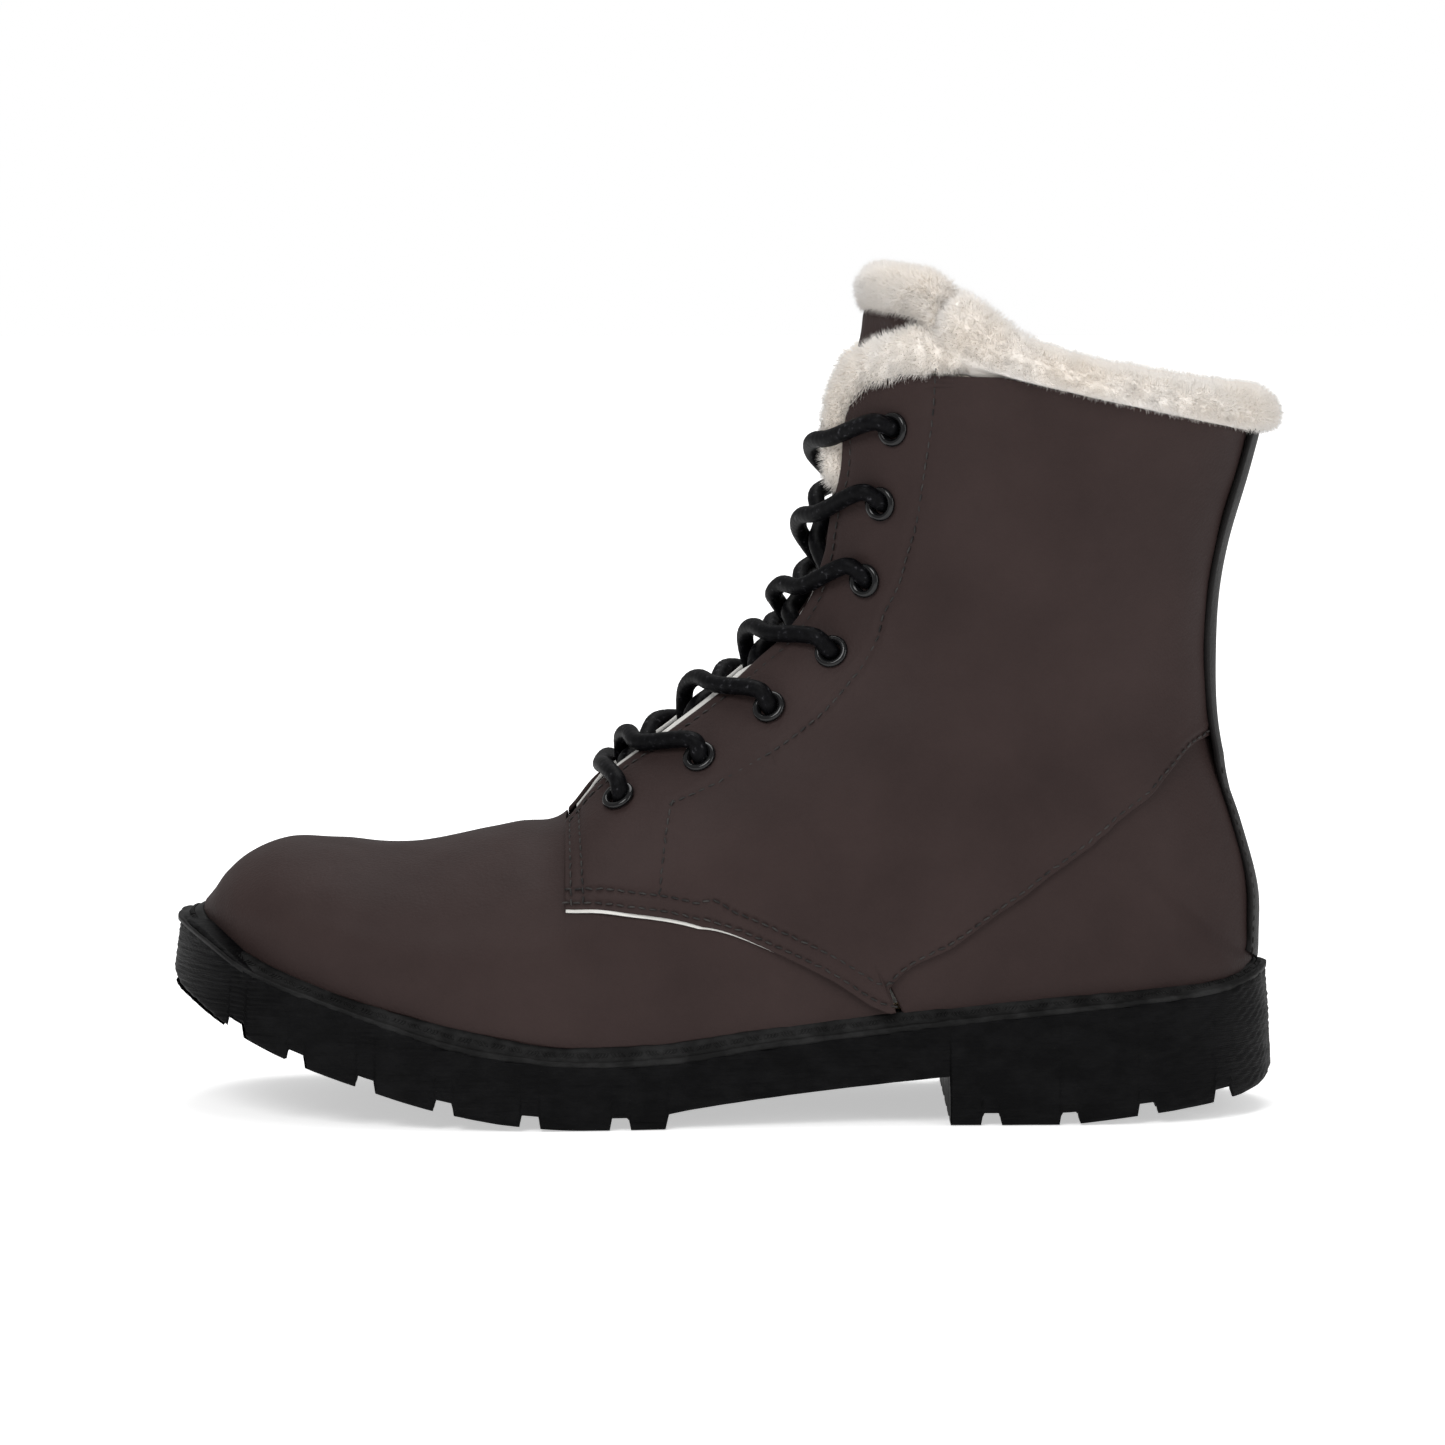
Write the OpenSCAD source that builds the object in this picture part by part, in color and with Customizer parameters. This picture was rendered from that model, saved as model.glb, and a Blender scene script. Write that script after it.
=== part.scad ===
// Left insulated lace-up boot: moulded rubber sole, leather upper, plush lining.
// Frame: toe to -X, heel to +X, outer (lateral) side to -Y, sole on Z = 0.

/* [Sole] */
// Length of the sole from toe tip to heel back
sole_length = 305; // [290:1:320]
// Extra width of the sole beyond the upper at the ball of the foot
sole_margin = 5.5; // [4:0.5:7]
// Depth of the tread notches
tread_depth = 3.2; // [2:0.1:4]
// Width of the tread notches
tread_width = 4.5; // [3:0.5:6]

/* [Upper] */
// Thickness of each leather panel
leather = 1.7; // [1.4:0.1:2]
// Thickness of the toe and heel stiffeners
stiffener = 1.2; // [1:0.1:1.5]
// Thickness of the felt insulation
felt = 2; // [1.5:0.1:2.2]
// Thickness of the plush lining with its pile pressed down
plush = 3; // [2.5:0.1:3.5]
// Thickness of the removable footbed
footbed_height = 5; // [4:0.5:6]

/* [Lacing] */
// Outer diameter of an eyelet flange
eyelet_flange = 9; // [8:0.2:10]
// Diameter of the hole through an eyelet
eyelet_bore = 5.1; // [4.5:0.1:5.4]
// Diameter of the round lace
lace_d = 4.8; // [4:0.1:5.2]
// Length of an aglet
aglet_length = 22; // [18:1:26]

/* [Hidden] */

lateral = -1;
medial = 1;
fit = 0.15;
$fn = 48;

// Cross sections of the last, from the toe tip over the instep to the collar.
// Each row holds: x and z of the section's front point, x and z of its back point, half width,
// where along the section it is widest, half width at the back point, y of the centre, ridge shape.
STATIONS = [
    [-140.5, 55, -140.5, 50, 9, .60, 8.5, 4.7, 1],
    [-138, 58, -138, 48.5, 16.5, .62, 16, 4.7, 1],
    [-134.5, 63, -134.5, 46.5, 24.5, .62, 23.5, 4.7, 1],
    [-128.5, 68, -128.5, 44, 32.5, .62, 31.5, 4.2, 1],
    [-118, 72, -118, 40, 40.5, .62, 39, 3.2, 1],
    [-104, 72, -104, 35.5, 46, .62, 44.5, 2.2, 1],
    [-87, 71, -87, 30.5, 49.5, .64, 48, 1.2, 1],
    [-70, 73.5, -70, 26.5, 51.5, .66, 50, .2, 1],
    [-56, 76.5, -56, 24, 52, .66, 50.5, -.3, 1],
    [-43, 79, -42, 21.5, 51, .66, 49.5, -1.3, 1],
    [-34, 89.5, -26, 21.5, 48.5, .66, 47.5, -2.3, 1.1],
    [-22, 99.5, -6, 23, 45, .64, 44, -3.3, 1.15],
    [-9, 109.5, 20, 26, 42, .60, 40, -3.8, 1.15],
    [5, 121, 52, 29, 40, .56, 36.5, -3.8, 1.15],
    [13, 129.5, 84, 32, 39, .52, 35.5, -3.3, 1.1],
    [17.5, 136, 112, 34, 38.5, .50, 33.5, -2.8, 1.1],
    [20, 140.5, 131, 35.5, 38.5, .49, 26.5, -2.3, 1.1],
    [21.5, 144, 142, 37, 38, .48, 14, -2.3, 1.05],
    [22.5, 147.5, 146, 40, 38, .48, 0, -2.3, 1.05],
    [23.5, 151, 146.5, 48, 37.5, .48, 0, -2.3, 1.05],
    [25, 156, 146, 61, 37.5, .48, 0, -2.3, 1.05],
    [26, 162, 141.5, 78, 37.5, .48, 0, -2.3, 1.05],
    [27, 168.5, 135.5, 96, 37.5, .48, 0, -2.3, 1.05],
    [28.5, 176, 132.5, 115, 38, .48, 0, -2.3, 1.05],
    [30.5, 184, 132.5, 135, 39, .48, 0, -2.3, 1.05],
    [32.5, 193, 135.5, 155, 40, .48, 0, -2.3, 1.05],
    [35, 203, 141, 175, 41, .48, 0, -2.3, 1.05],
    [37.5, 213, 146, 193, 42, .48, 0, -2.3, 1.05],
    [40, 224, 150, 210, 43, .48, 0, -2.3, 1.05],
    [42, 235, 153, 227, 44, .48, 0, -2.3, 1.05]];

// Named places along the sections
THROAT = 9.15;
WAIST = 12.88;
HEEL_BACK = 18;
COLLAR = 26.5;

// Edges of the panels as [section, place round the section]: 0 is the front, 1 the back or the sole
FACING_EDGE = [[9, .11], [10.5, .11], [11.5, .12], [13, .12], [14.5, .132], [20.5, .13], [23, .15], [24.5, .13],
    [25.2, .14], [25.5, .16], [25.9, .2], [26.2, .31], [26.5, .42]];
QUARTER_EDGE = [[9, .35], [10.3, .42], [11.4, .50], [12.1, .63], [12.5, .735], [12.88, .875], [12.92, .79],
    [13.7, .712], [14.5, .66], [15.5, .622], [16.5, .607], [17.5, .604], [18.5, .614], [19.5, .64], [20.5, .69],
    [21.4, .76], [22, .835], [22.4, .945], [22.6, 1], [27, 1]];
STAY_EDGE = [[9, .26], [11.5, .29], [13.5, .30], [16, .28], [19, .28], [21, .305], [24, .33], [27, .33]];
TONGUE_EDGE = [[8.8, .12], [11, .2], [15, .25], [24, .25], [26, .23], [29, .22]];
// Depth of the tongue's middle at each section
TONGUE_MIDDLE = [[8.8, 3.2], [10, 3.8], [11, 5.2], [15, 5.3], [17, 5.8], [23.5, 5.8], [25.3, 3.2], [27.2, 1]];
// Section that the top of the plush collar reaches at each place round it
CUFF_TOP = [[.3, 27.8], [.345, 27.4], [.4, 27.15], [.46, 26.97], [.6, 26.97], [1, 27.1]];
EYELETS = [[10.55, .205], [12, .235], [13.2, .232], [15.3, .23], [20.05, .235], [22.85, .262], [24.8, .26]];
// Section at which the two lace strands between neighbouring eyelets cross
CROSSINGS = [10.75, 12.2, 13.55, 15.1, 20, 23.2];
// Sections at which a strand passes over the lateral and the medial facing edge, below each upper eyelet
EDGE_PASSES = [[11.05, 11.4], [12.55, 12.75], [14.1, 14.3], [16.8, 17.6], [21.1, 21.7], [23.8, 24.1]];
// Sections at which a strand comes out from under a facing, above each lower eyelet
EDGE_EXITS = [10.6, 11.85, 13.12, 14.8, 19.1, 22.6];

// Heights of the sole seen from the side
SOLE_TOP = [[-153, 52], [-147, 51], [-140, 48], [-125, 39.5], [-106, 33], [-88, 27], [-70, 21.5],
    [-60, 19.5], [-32, 17], [-10, 18], [10, 21], [36, 24], [75, 28.5], [114, 32.5], [138, 35], [153, 39.5]];
WELT_TOP = [[-153, 57], [-142, 56], [-140, 53], [-131, 46.5], [-112, 38.5], [-94, 32.5], [-76, 28],
    [-60, 24.5], [-42, 21.5], [-18, 22], [10, 25.5], [36, 28.5], [60, 31], [90, 33.5], [122, 36], [153, 41]];
TOE_CURVE = [[-153, 40], [-151.5, 36.5], [-142, 30.5], [-129, 23.5], [-114, 17], [-96, 11], [-75, 5],
    [-52, 1], [-36, 0]];
HEEL_CURVE = [[62, 0], [90, 0], [112, 2], [133, 4.5], [142, 6], [152, 11]];
FOREFOOT_NOTCHES = [-130, -113, -94, -73, -50, -26];
HEEL_NOTCHES = [73, 94, 115, 136];

half_length = sole_length / 2;
eyelet_r = 3.1;
facing_back = 2.1;
lace_inside = facing_back + 0.6 + lace_d / 2 - 0.3;
tongue_rise = 5.2;

// Interpolates smoothly between neighbouring stations
function station(s) = let(
    last = len(STATIONS) - 1,
    i = max(0, min(floor(s), last - 1)),
    f = s - i,
    b = STATIONS[i],
    c = STATIONS[i + 1],
    a = i > 0 ? STATIONS[i - 1] : 2 * b - c,
    e = i + 2 <= last ? STATIONS[i + 2] : 2 * c - b)
    b + 0.5 * f * (c - a + f * (2 * a - 5 * b + 4 * c - e + f * (3 * (b - c) + e - a)));

// Point at section s and place t round it, d inside the outer face of the vamp leather
function at(s, t, d = 0) = let(
    r = station(s),
    a = min(abs(t), 1),
    run = [r[2] - r[0], r[3] - r[1]],
    along = run / norm(run),
    chord = max(norm(run) - 2 * d, 0.5),
    half = max(r[4] - d, 0.4),
    end = max(r[6] - d, 0),
    ph = a <= 0.5 ? a * 180 : (a - 0.5) * 180,
    v = a <= 0.5 ? r[5] * (1 - cos(ph)) : r[5] + (1 - r[5]) * sin(ph),
    y = a <= 0.5 ? half * pow(sin(ph), r[8]) : end + (half - end) * cos(ph),
    nose = max(0, 1 - s / 4),
    hem = 32 * max(abs(t) - 1, 0))
    [r[0] + along[0] * (d + chord * v) + d * nose, r[7] + sign(t) * y, r[1] + along[1] * (d + chord * v) - hem];

function outward(s, t) = let(
    ds = at(s + 0.05, t) - at(s - 0.05, t),
    dt = at(s, t + 0.01) - at(s, t - 0.01),
    n = cross(ds, dt))
    n / norm(n);

function steps(a, b, n) = [for (i = [0 : n]) a + (b - a) * i / n];

// Grid of [s, t] places from edge lo to edge hi on one side of the boot
function panel(rows, lo, hi, n, side) = [for (s = rows) [for (f = steps(0, 1, n))
    [s, side > 0 ? lo(s) + (hi(s) - lo(s)) * f : -hi(s) + (hi(s) - lo(s)) * f]]];

// Grid that runs from the medial side round the back to the lateral side
function wrap(rows, lo, n) = [for (s = rows) [for (q = steps(lo(s), 2 - lo(s), n)) [s, q <= 1 ? q : q - 2]]];

function edge(list) = function(s) lookup(s, list);
function flat(value) = function(s) value;
function depth(value) = function(s, t) value;

// Closed sheet over a grid of places, between the depths near and far; keep leaves cells out
module sheet(grid, near, far, keep = function(i, j) true) {
    m = len(grid);
    n = len(grid[0]);
    front = [for (row = grid) for (g = row) at(g[0], g[1], near(g[0], g[1]))];
    rear = [for (row = grid) for (g = row) at(g[0], g[1], far(g[0], g[1]))];
    in = function(i, j) i >= 0 && j >= 0 && i < m - 1 && j < n - 1 && keep(i, j);
    p = function(i, j, k) (k * m + i) * n + j;
    quad = function(a, b, c, d) [[a, b, c], [a, c, d]];
    skin = function(turned, a, b, c, d) turned ? quad(b, c, d, a) : quad(a, b, c, d);
    turned = function(i, j) grid[i][j][1] + grid[i][j + 1][1] < 0;
    faces = [for (i = [0 : m - 2]) for (j = [0 : n - 2]) if (in(i, j)) each concat(
        skin(turned(i, j), p(i, j, 0), p(i, j + 1, 0), p(i + 1, j + 1, 0), p(i + 1, j, 0)),
        skin(turned(i, j), p(i, j, 1), p(i + 1, j, 1), p(i + 1, j + 1, 1), p(i, j + 1, 1)),
        in(i - 1, j) ? [] : quad(p(i, j + 1, 0), p(i, j, 0), p(i, j, 1), p(i, j + 1, 1)),
        in(i + 1, j) ? [] : quad(p(i + 1, j, 0), p(i + 1, j + 1, 0), p(i + 1, j + 1, 1), p(i + 1, j, 1)),
        in(i, j - 1) ? [] : quad(p(i, j, 0), p(i + 1, j, 0), p(i + 1, j, 1), p(i, j, 1)),
        in(i, j + 1) ? [] : quad(p(i + 1, j + 1, 0), p(i, j + 1, 0), p(i, j + 1, 1), p(i + 1, j + 1, 1)))];
    polyhedron(concat(front, rear), faces);
}

// Stands its children on the upper at a place, with +Z pointing outward
module on_upper(s, t, d) {
    n = outward(s, t);
    translate(at(s, t) - n * d) rotate([0, acos(n[2]), atan2(n[1], n[0])]) children();
}

module eyelet_holes(side) {
    for (e = EYELETS) on_upper(e[0], side * e[1], 0) cylinder(h = 16, r = eyelet_r + 0.15, center = true);
}

// ---- plan outline of the foot and side profile of the sole ----

function foot_outline() = concat(
    [for (s = steps(0, HEEL_BACK, 36)) let(r = station(s)) [r[2], r[7] + r[6]]],
    [for (s = steps(HEEL_BACK - 0.5, 0, 35)) let(r = station(s)) [r[2], r[7] - r[6]]]);

// Outline moved outward by margin(x)
function grown_outline(margin) = let(
    base = foot_outline(),
    n = len(base))
    [for (i = [0 : n - 1]) let(
        d = base[(i + 1) % n] - base[(i + n - 1) % n],
        out = [-d[1], d[0]] / norm(d))
        base[i] + out * margin(base[i][0])];

SOLE_MARGIN = [[-141, half_length - 141], [-110, 8], [-50, sole_margin], [20, 4.5], [60, 6], [110, 7],
    [146, half_length - 146.5]];

module plan(margin, h = 70) {
    linear_extrude(h) polygon(grown_outline(margin));
}

// Band seen from the side between two heights that depend on x
module side_band(low, high, x0, x1, n, width = 140) {
    xs = steps(x0, x1, n);
    outline = concat([for (x = xs) [x, low(x)]], [for (i = [n : -1 : 0]) [xs[i], high(xs[i])]]);
    rotate([90, 0, 0]) linear_extrude(width, center = true) polygon(outline);
}

function welt_height(x) = lookup(x, WELT_TOP);

// Place round the section where the leather's lower edge ends, below the top of the welt
HEM = [[0, 1.03], [2, 1.03], [3, 1.06], [5, 1.07], [6, 1.09], [12, 1.09], [12.7, 1.06], [13, 1.06], [14, 1.05],
    [15, 1.03], [16, 1.015], [17, 1]];

module sole_profile() {
    arch = [for (f = steps(0, 1, 6)) [-14 + 76 * f, 3.7 + 9.3 * pow(f, 0.8)]];
    rotate([90, 0, 0]) linear_extrude(140, center = true) polygon(concat(
        [[-half_length, 52]], TOE_CURVE, [[-14, 0]], arch, HEEL_CURVE, [[half_length, 39]],
        [for (i = [len(SOLE_TOP) - 1 : -1 : 0]) SOLE_TOP[i]]));
}

module tread_notches() {
    for (x = FOREFOOT_NOTCHES) translate([x, 0, lookup(x, TOE_CURVE)]) rotate([0, x < -60 ? 20 : 0, 0])
        cube([tread_width, 140, 2 * tread_depth], center = true);
    for (x = HEEL_NOTCHES) translate([x, 0, lookup(x, HEEL_CURVE)])
        cube([tread_width, 140, 2 * tread_depth], center = true);
}

module outsole() {
    color("#232323") difference() {
        intersection() {
            sole_profile();
            plan(edge(SOLE_MARGIN));
        }
        tread_notches();
    }
}

module welt() {
    color("#2b2a29") intersection() {
        side_band(function(x) lookup(x, SOLE_TOP) + 0.3, edge(WELT_TOP), -half_length, half_length, 61);
        difference() {
            plan(function(x) lookup(x, SOLE_MARGIN) - 1.2);
            plan(edge([[20, 0.4], [70, 1.3], [138, 1.3], [146, 0.6]]));
        }
    }
}

module bottom_filler() {
    color("#8a6a48") intersection() {
        side_band(function(x) lookup(x, SOLE_TOP) + fit, function(x) welt_height(x) - 1.7, -136, 138, 30);
        plan(flat(-2.4));
    }
}

module shank() {
    color("#9a9da0") translate([0, -3, 0])
        side_band(function(x) welt_height(x) - 1.6, function(x) welt_height(x) - 0.2, -25, 95, 12, 16);
}

module insole_board() {
    color("#b59a70") intersection() {
        side_band(function(x) welt_height(x) + fit, function(x) welt_height(x) + 1.5, -134, 138, 30);
        plan(flat(-5.7));
    }
}

module footbed() {
    color("#d8d2c4") intersection() {
        side_band(function(x) welt_height(x) + 1.8, function(x) welt_height(x) + 1.8 + footbed_height,
            -128, 134, 30);
        plan(flat(-10.2));
    }
}

// ---- leather upper ----

VAMP_CELLS = 7;
TOP_CELLS = 4;
VAMP_ROWS = concat(steps(1, 5, 8), [6, 7, 8, 8.6]);

// Places across the vamp at section s: outer on each side, and inner where its side wings end
function across_vamp(s, outer, inner) = let(
    half = concat([outer], [for (f = steps(0, 1, VAMP_CELLS - 1)) 0.9 + (inner - 0.9) * f],
        [for (k = [1 : TOP_CELLS - 1]) inner * (1 - k / TOP_CELLS)]))
    concat([for (v = half) [s, -v]], [[s, 0]], [for (i = [len(half) - 1 : -1 : 0]) [s, half[i]]]);

module vamp() {
    rows = concat([0, 0.5], VAMP_ROWS, [THROAT, 9.6, 10, 10.4, 10.8, 11.1, 11.4, 11.7, 12, 12.4, 12.66, WAIST]);
    grid = [for (s = rows) across_vamp(s, lookup(s, HEM), s <= THROAT ? 0.3 : lookup(s, QUARTER_EDGE) - 0.05)];
    color("#3d3332") sheet(grid, depth(0), depth(leather),
        function(i, j) rows[i] < THROAT || j < VAMP_CELLS || j >= VAMP_CELLS + 2 * TOP_CELLS);
}

module vamp_layer(first, last, near, far) {
    sheet([for (s = VAMP_ROWS) if (s >= first && s <= last) across_vamp(s, 1, 0.3)], depth(near), depth(far));
}

module toe_puff() {
    color("#a08a62") vamp_layer(1, 5, leather + 2 * fit, leather + 2 * fit + stiffener);
}

module vamp_insulation() {
    near = leather + stiffener + 4 * fit;
    color("#cfcabd") vamp_layer(1, 9, near, near + felt);
}

module vamp_lining() {
    near = leather + stiffener + felt + 5 * fit;
    color("#e8e0d0") vamp_layer(1, 9, near, near + plush);
}

HEEL_ROWS = concat(steps(14, 21.5, 10), [21.8, 22.1, 22.35, 22.6]);
COLLAR_ROWS = [23.2, 24, 24.8, 25.4, 25.9];
QUARTER_ROWS = concat([9.4], steps(9.8, 12.2, 6), [12.5, 12.7, WAIST, WAIST + 0.04, 13.3], HEEL_ROWS, COLLAR_ROWS);

// Places from the facing edge over the stay to the last edge, in 3 + n cells
function quarter_row(s, side, last, n) = let(
    lo = lookup(s, FACING_EDGE),
    mid = max(lookup(s, STAY_EDGE), lo + 0.03),
    places = concat(steps(lo, mid, 3), n > 0 ? [for (k = [1 : n]) mid + (last - mid) * k / n] : []))
    [for (i = [0 : len(places) - 1]) [s, side > 0 ? places[i] : -places[len(places) - 1 - i]]];

module quarter(side) {
    rows = concat([THROAT], QUARTER_ROWS, [26.2, COLLAR]);
    color("#3d3332") difference() {
        sheet([for (s = rows) quarter_row(s, side, lookup(s, QUARTER_EDGE), 10)],
            depth(-leather), depth(-2 * fit));
        eyelet_holes(side);
    }
}

module heel_panel(side) {
    rows = concat([WAIST + 0.04, 13.3], HEEL_ROWS);
    color("#3a3130") sheet(panel(rows, function(s) min(lookup(s, QUARTER_EDGE), 1) - 0.05, edge(HEM), 10, side),
        depth(0), depth(leather));
}

module heel_counter() {
    rows = steps(14, 21.5, 10);
    arc = steps(0.68, 0.985, 8);
    places = concat(arc, [for (i = [len(arc) - 1 : -1 : 0]) -arc[i]]);
    color("#a08a62") sheet([for (s = rows) [for (t = places) [s, t]]],
        depth(leather + 2 * fit), depth(leather + 2 * fit + stiffener),
        function(i, j) j != len(arc) - 1 || rows[i] >= HEEL_BACK);
}

module backstay() {
    outer = function(s, t) lookup(s, [[21.5, -1.4], [22.1, -leather - 1.5]]);
    inner = function(s, t) lookup(s, [[21.5, -fit], [22.1, -leather - fit]]);
    color("#1f1e1e") sheet(wrap(concat([HEEL_BACK + 0.1, 18.3], [for (s = HEEL_ROWS) if (s > 18.4) s],
        COLLAR_ROWS, [26.2, 26.6]), flat(0.905), 8), outer, inner);
}

module facing_strip(side, near, far) {
    difference() {
        sheet([for (s = QUARTER_ROWS) quarter_row(s, side, 1, 0)], depth(near), depth(far));
        eyelet_holes(side);
    }
}

module facing_stay(side) {
    color("#6d6254") facing_strip(side, fit, 1);
}

module facing_lining(side) {
    color("#57504b") facing_strip(side, 1 + fit, facing_back);
}

module quarter_layer(side, near, far) {
    sheet(panel(concat(steps(8.75, 21.5, 16), [22.1, 22.6, 23.4, 24.2, 25, 25.7, 26.3]), flat(0.345),
        edge([[15, 0.985], [18, 1]]), 10, side), depth(near), depth(far));
}

module quarter_insulation(side) {
    near = leather + stiffener + 4 * fit;
    color("#cfcabd") quarter_layer(side, near, near + felt);
}

module quarter_lining(side) {
    near = leather + stiffener + felt + 5 * fit;
    color("#e8e0d0") quarter_layer(side, near, near + plush);
}

module collar_cuff() {
    base = COLLAR + 0.12;
    top = function(t) lookup(abs(t), CUFF_TOP);
    rise = function(s, t) (s - base) / (top(t) - base);
    grid = [for (f = [0, 0.2, 0.5, 0.8, 1]) [for (q = steps(0.31, 1.69, 26))
        let(t = q <= 1 ? q : q - 2) [base + f * (top(t) - base), t]]];
    color("#efe7d8") sheet(grid, function(s, t) lookup(rise(s, t), [[0, -2], [0.2, -5], [0.5, -5.5], [1, 0]]),
        function(s, t) lookup(rise(s, t), [[0, 8], [0.5, 8.5], [1, 5]]));
}

// ---- tongue ----

// Extra depth of the tongue under the facings compared with its middle
function tongue_dip(t) = let(f = min(abs(t) / 0.115, 1)) tongue_rise * f * f * (3 - 2 * f);
function tongue_depth(s, t, share) = lookup(s, TONGUE_MIDDLE)
    + share * tongue_dip(t) * lookup(s, [[25.3, 1], [27.2, 0.3]]);

TONGUE_ROWS = concat([8.8, 9.3, 9.8], steps(10.5, 15, 6), steps(16, 26, 8), [26.8, 27.4, 28.1, 28.8]);

module tongue_layer(last, near, far, near_share, far_share) {
    rows = [for (s = TONGUE_ROWS) if (s <= last) s];
    grid = [for (s = rows) let(w = lookup(s, TONGUE_EDGE)) [for (f = steps(-1, 1, 12)) [s, w * f]]];
    sheet(grid, function(s, t) tongue_depth(s, t, near_share) + near,
        function(s, t) tongue_depth(s, t, far_share) + far);
}

module tongue_leather() {
    color("#332b2a") tongue_layer(27.4, 0, 1.2, 1, 1);
}

module tongue_padding() {
    color("#c9c2a8") tongue_layer(27.4, 1.3, 5, 1, 0.8);
}

module tongue_lining() {
    color("#efe7d8") tongue_layer(28.8, 5.1, 8.1, 0.8, 0.8);
}

module lace_keeper() {
    grid = [for (s = [12.55, 12.7, 12.85, 13.05, 13.2]) [for (f = steps(-1, 1, 4)) [s, 0.03 * f]]];
    color("#2b2a2c") sheet(grid, function(s, t) tongue_depth(s, t, 1) - 0.85,
        function(s, t) tongue_depth(s, t, 1) - 0.15);
}

// ---- lacing ----

module eyelet_profile() {
    polygon([[eyelet_bore / 2, -3], [eyelet_r, -3], [eyelet_r, 2.1], [eyelet_flange / 2, 2.1],
        [eyelet_flange / 2, 2.5], [eyelet_flange / 2 - 0.6, 3], [eyelet_r, 3.1], [eyelet_bore / 2, 2.6]]);
}

module eyelets(side) {
    color("#151515") for (e = EYELETS) on_upper(e[0], side * e[1], 0) rotate_extrude() eyelet_profile();
}

module eyelet_washers(side) {
    color("#151515") for (e = EYELETS) on_upper(e[0], side * e[1], facing_back + 1) difference() {
        cylinder(h = 0.5, r = eyelet_flange / 2);
        translate([0, 0, -1]) cylinder(h = 3, r = eyelet_r + 0.1);
    }
}

// Strand that starts inside one eyelet and ends outside the next one up on the other side
function strand(i, from, over) = let(
    a = EYELETS[i],
    b = EYELETS[i + 1],
    c = CROSSINGS[i],
    start = EDGE_EXITS[i],
    end = EDGE_PASSES[i][from > 0 ? 0 : 1]) [
    at(a[0], from * a[1], lace_inside),
    at(start, from * 0.13, lace_inside),
    at(c + (start - c) * 0.45, from * 0.05, over ? -3 : 2.8),
    at(c, from * 0.005, over ? -4.2 : 2.3),
    at(c + (end - c) * 0.45, -from * 0.05, over ? -4.5 : 2),
    at(end, -from * 0.12, -leather - lace_d / 2 - 0.2),
    at(b[0], -from * b[1] * 0.92, -leather - lace_d / 2 - 0.6)];

// Half of the lace from the bottom bar to the end tucked down beside the tongue
function lace_half(side) = concat(
    [at(10.35, side * 0.12, -leather - lace_d / 2 - 0.2)],
    [at(EYELETS[0][0], side * EYELETS[0][1] * 0.92, -leather - lace_d / 2 - 0.6)],
    [for (i = [0 : len(CROSSINGS) - 1]) each strand(i, side * (i % 2 == 0 ? 1 : -1), (side > 0) == (i % 2 == 0))],
    [at(24.75, side * 0.285, lace_inside - 0.5)],
    [for (s = [23.8, 22, 20, 17, 14.5]) at(s, side * 0.295, lace_inside)]);

function lace_route() = let(l = lace_half(lateral), m = lace_half(medial)) concat(
    [for (i = [len(l) - 1 : -1 : 0]) l[i]],
    [at(10.2, 0, -1.6)],
    m);

// Round tube swept along a list of points
module tube(route, r, sides = 8) {
    n = len(route);
    tangent = [for (i = [0 : n - 1]) let(d = route[min(i + 1, n - 1)] - route[max(i - 1, 0)]) d / norm(d)];
    frames = [for (i = 0, u = cross(tangent[0], [0, 1, 0]); i < n; i = i + 1,
        u = i < n ? u - (u * tangent[i]) * tangent[i] : u) u / norm(u)];
    points = [for (i = [0 : n - 1]) let(u = frames[i], v = cross(tangent[i], u))
        for (k = [0 : sides - 1]) route[i] + r * (cos(360 * k / sides) * u + sin(360 * k / sides) * v)];
    rings = [for (i = [0 : n - 2]) for (k = [0 : sides - 1]) let(
        a = i * sides + k,
        b = i * sides + (k + 1) % sides)
        each [[a, a + sides, b + sides], [a, b + sides, b]]];
    polyhedron(points, concat([[for (k = [0 : sides - 1]) k]], rings,
        [[for (k = [sides - 1 : -1 : 0]) (n - 1) * sides + k]]));
}

module lace() {
    color("#141414") tube(lace_route(), lace_d / 2);
}

module aglet(side) {
    route = lace_half(side);
    n = len(route);
    d = route[n - 1] - route[n - 2];
    u = d / norm(d);
    color("#101010") translate(route[n - 1] + u * fit) rotate([0, acos(u[2]), atan2(u[1], u[0])])
        cylinder(h = aglet_length, r = lace_d / 2 - 0.4);
}

outsole();
welt();
bottom_filler();
shank();
insole_board();
footbed();
vamp();
toe_puff();
vamp_insulation();
vamp_lining();
quarter(lateral);  // quarter_lateral
quarter(medial);  // quarter_medial
heel_panel(lateral);  // heel_panel_lateral
heel_panel(medial);  // heel_panel_medial
heel_counter();
backstay();
facing_stay(lateral);  // facing_stay_lateral
facing_stay(medial);  // facing_stay_medial
facing_lining(lateral);  // facing_lining_lateral
facing_lining(medial);  // facing_lining_medial
quarter_insulation(lateral);  // quarter_insulation_lateral
quarter_insulation(medial);  // quarter_insulation_medial
quarter_lining(lateral);  // quarter_lining_lateral
quarter_lining(medial);  // quarter_lining_medial
collar_cuff();
tongue_leather();
tongue_padding();
tongue_lining();
lace_keeper();
eyelets(lateral);  // eyelets_lateral
eyelets(medial);  // eyelets_medial
eyelet_washers(lateral);  // eyelet_washers_lateral
eyelet_washers(medial);  // eyelet_washers_medial
lace();
aglet(lateral);  // aglet_lateral
aglet(medial);  // aglet_medial
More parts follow.
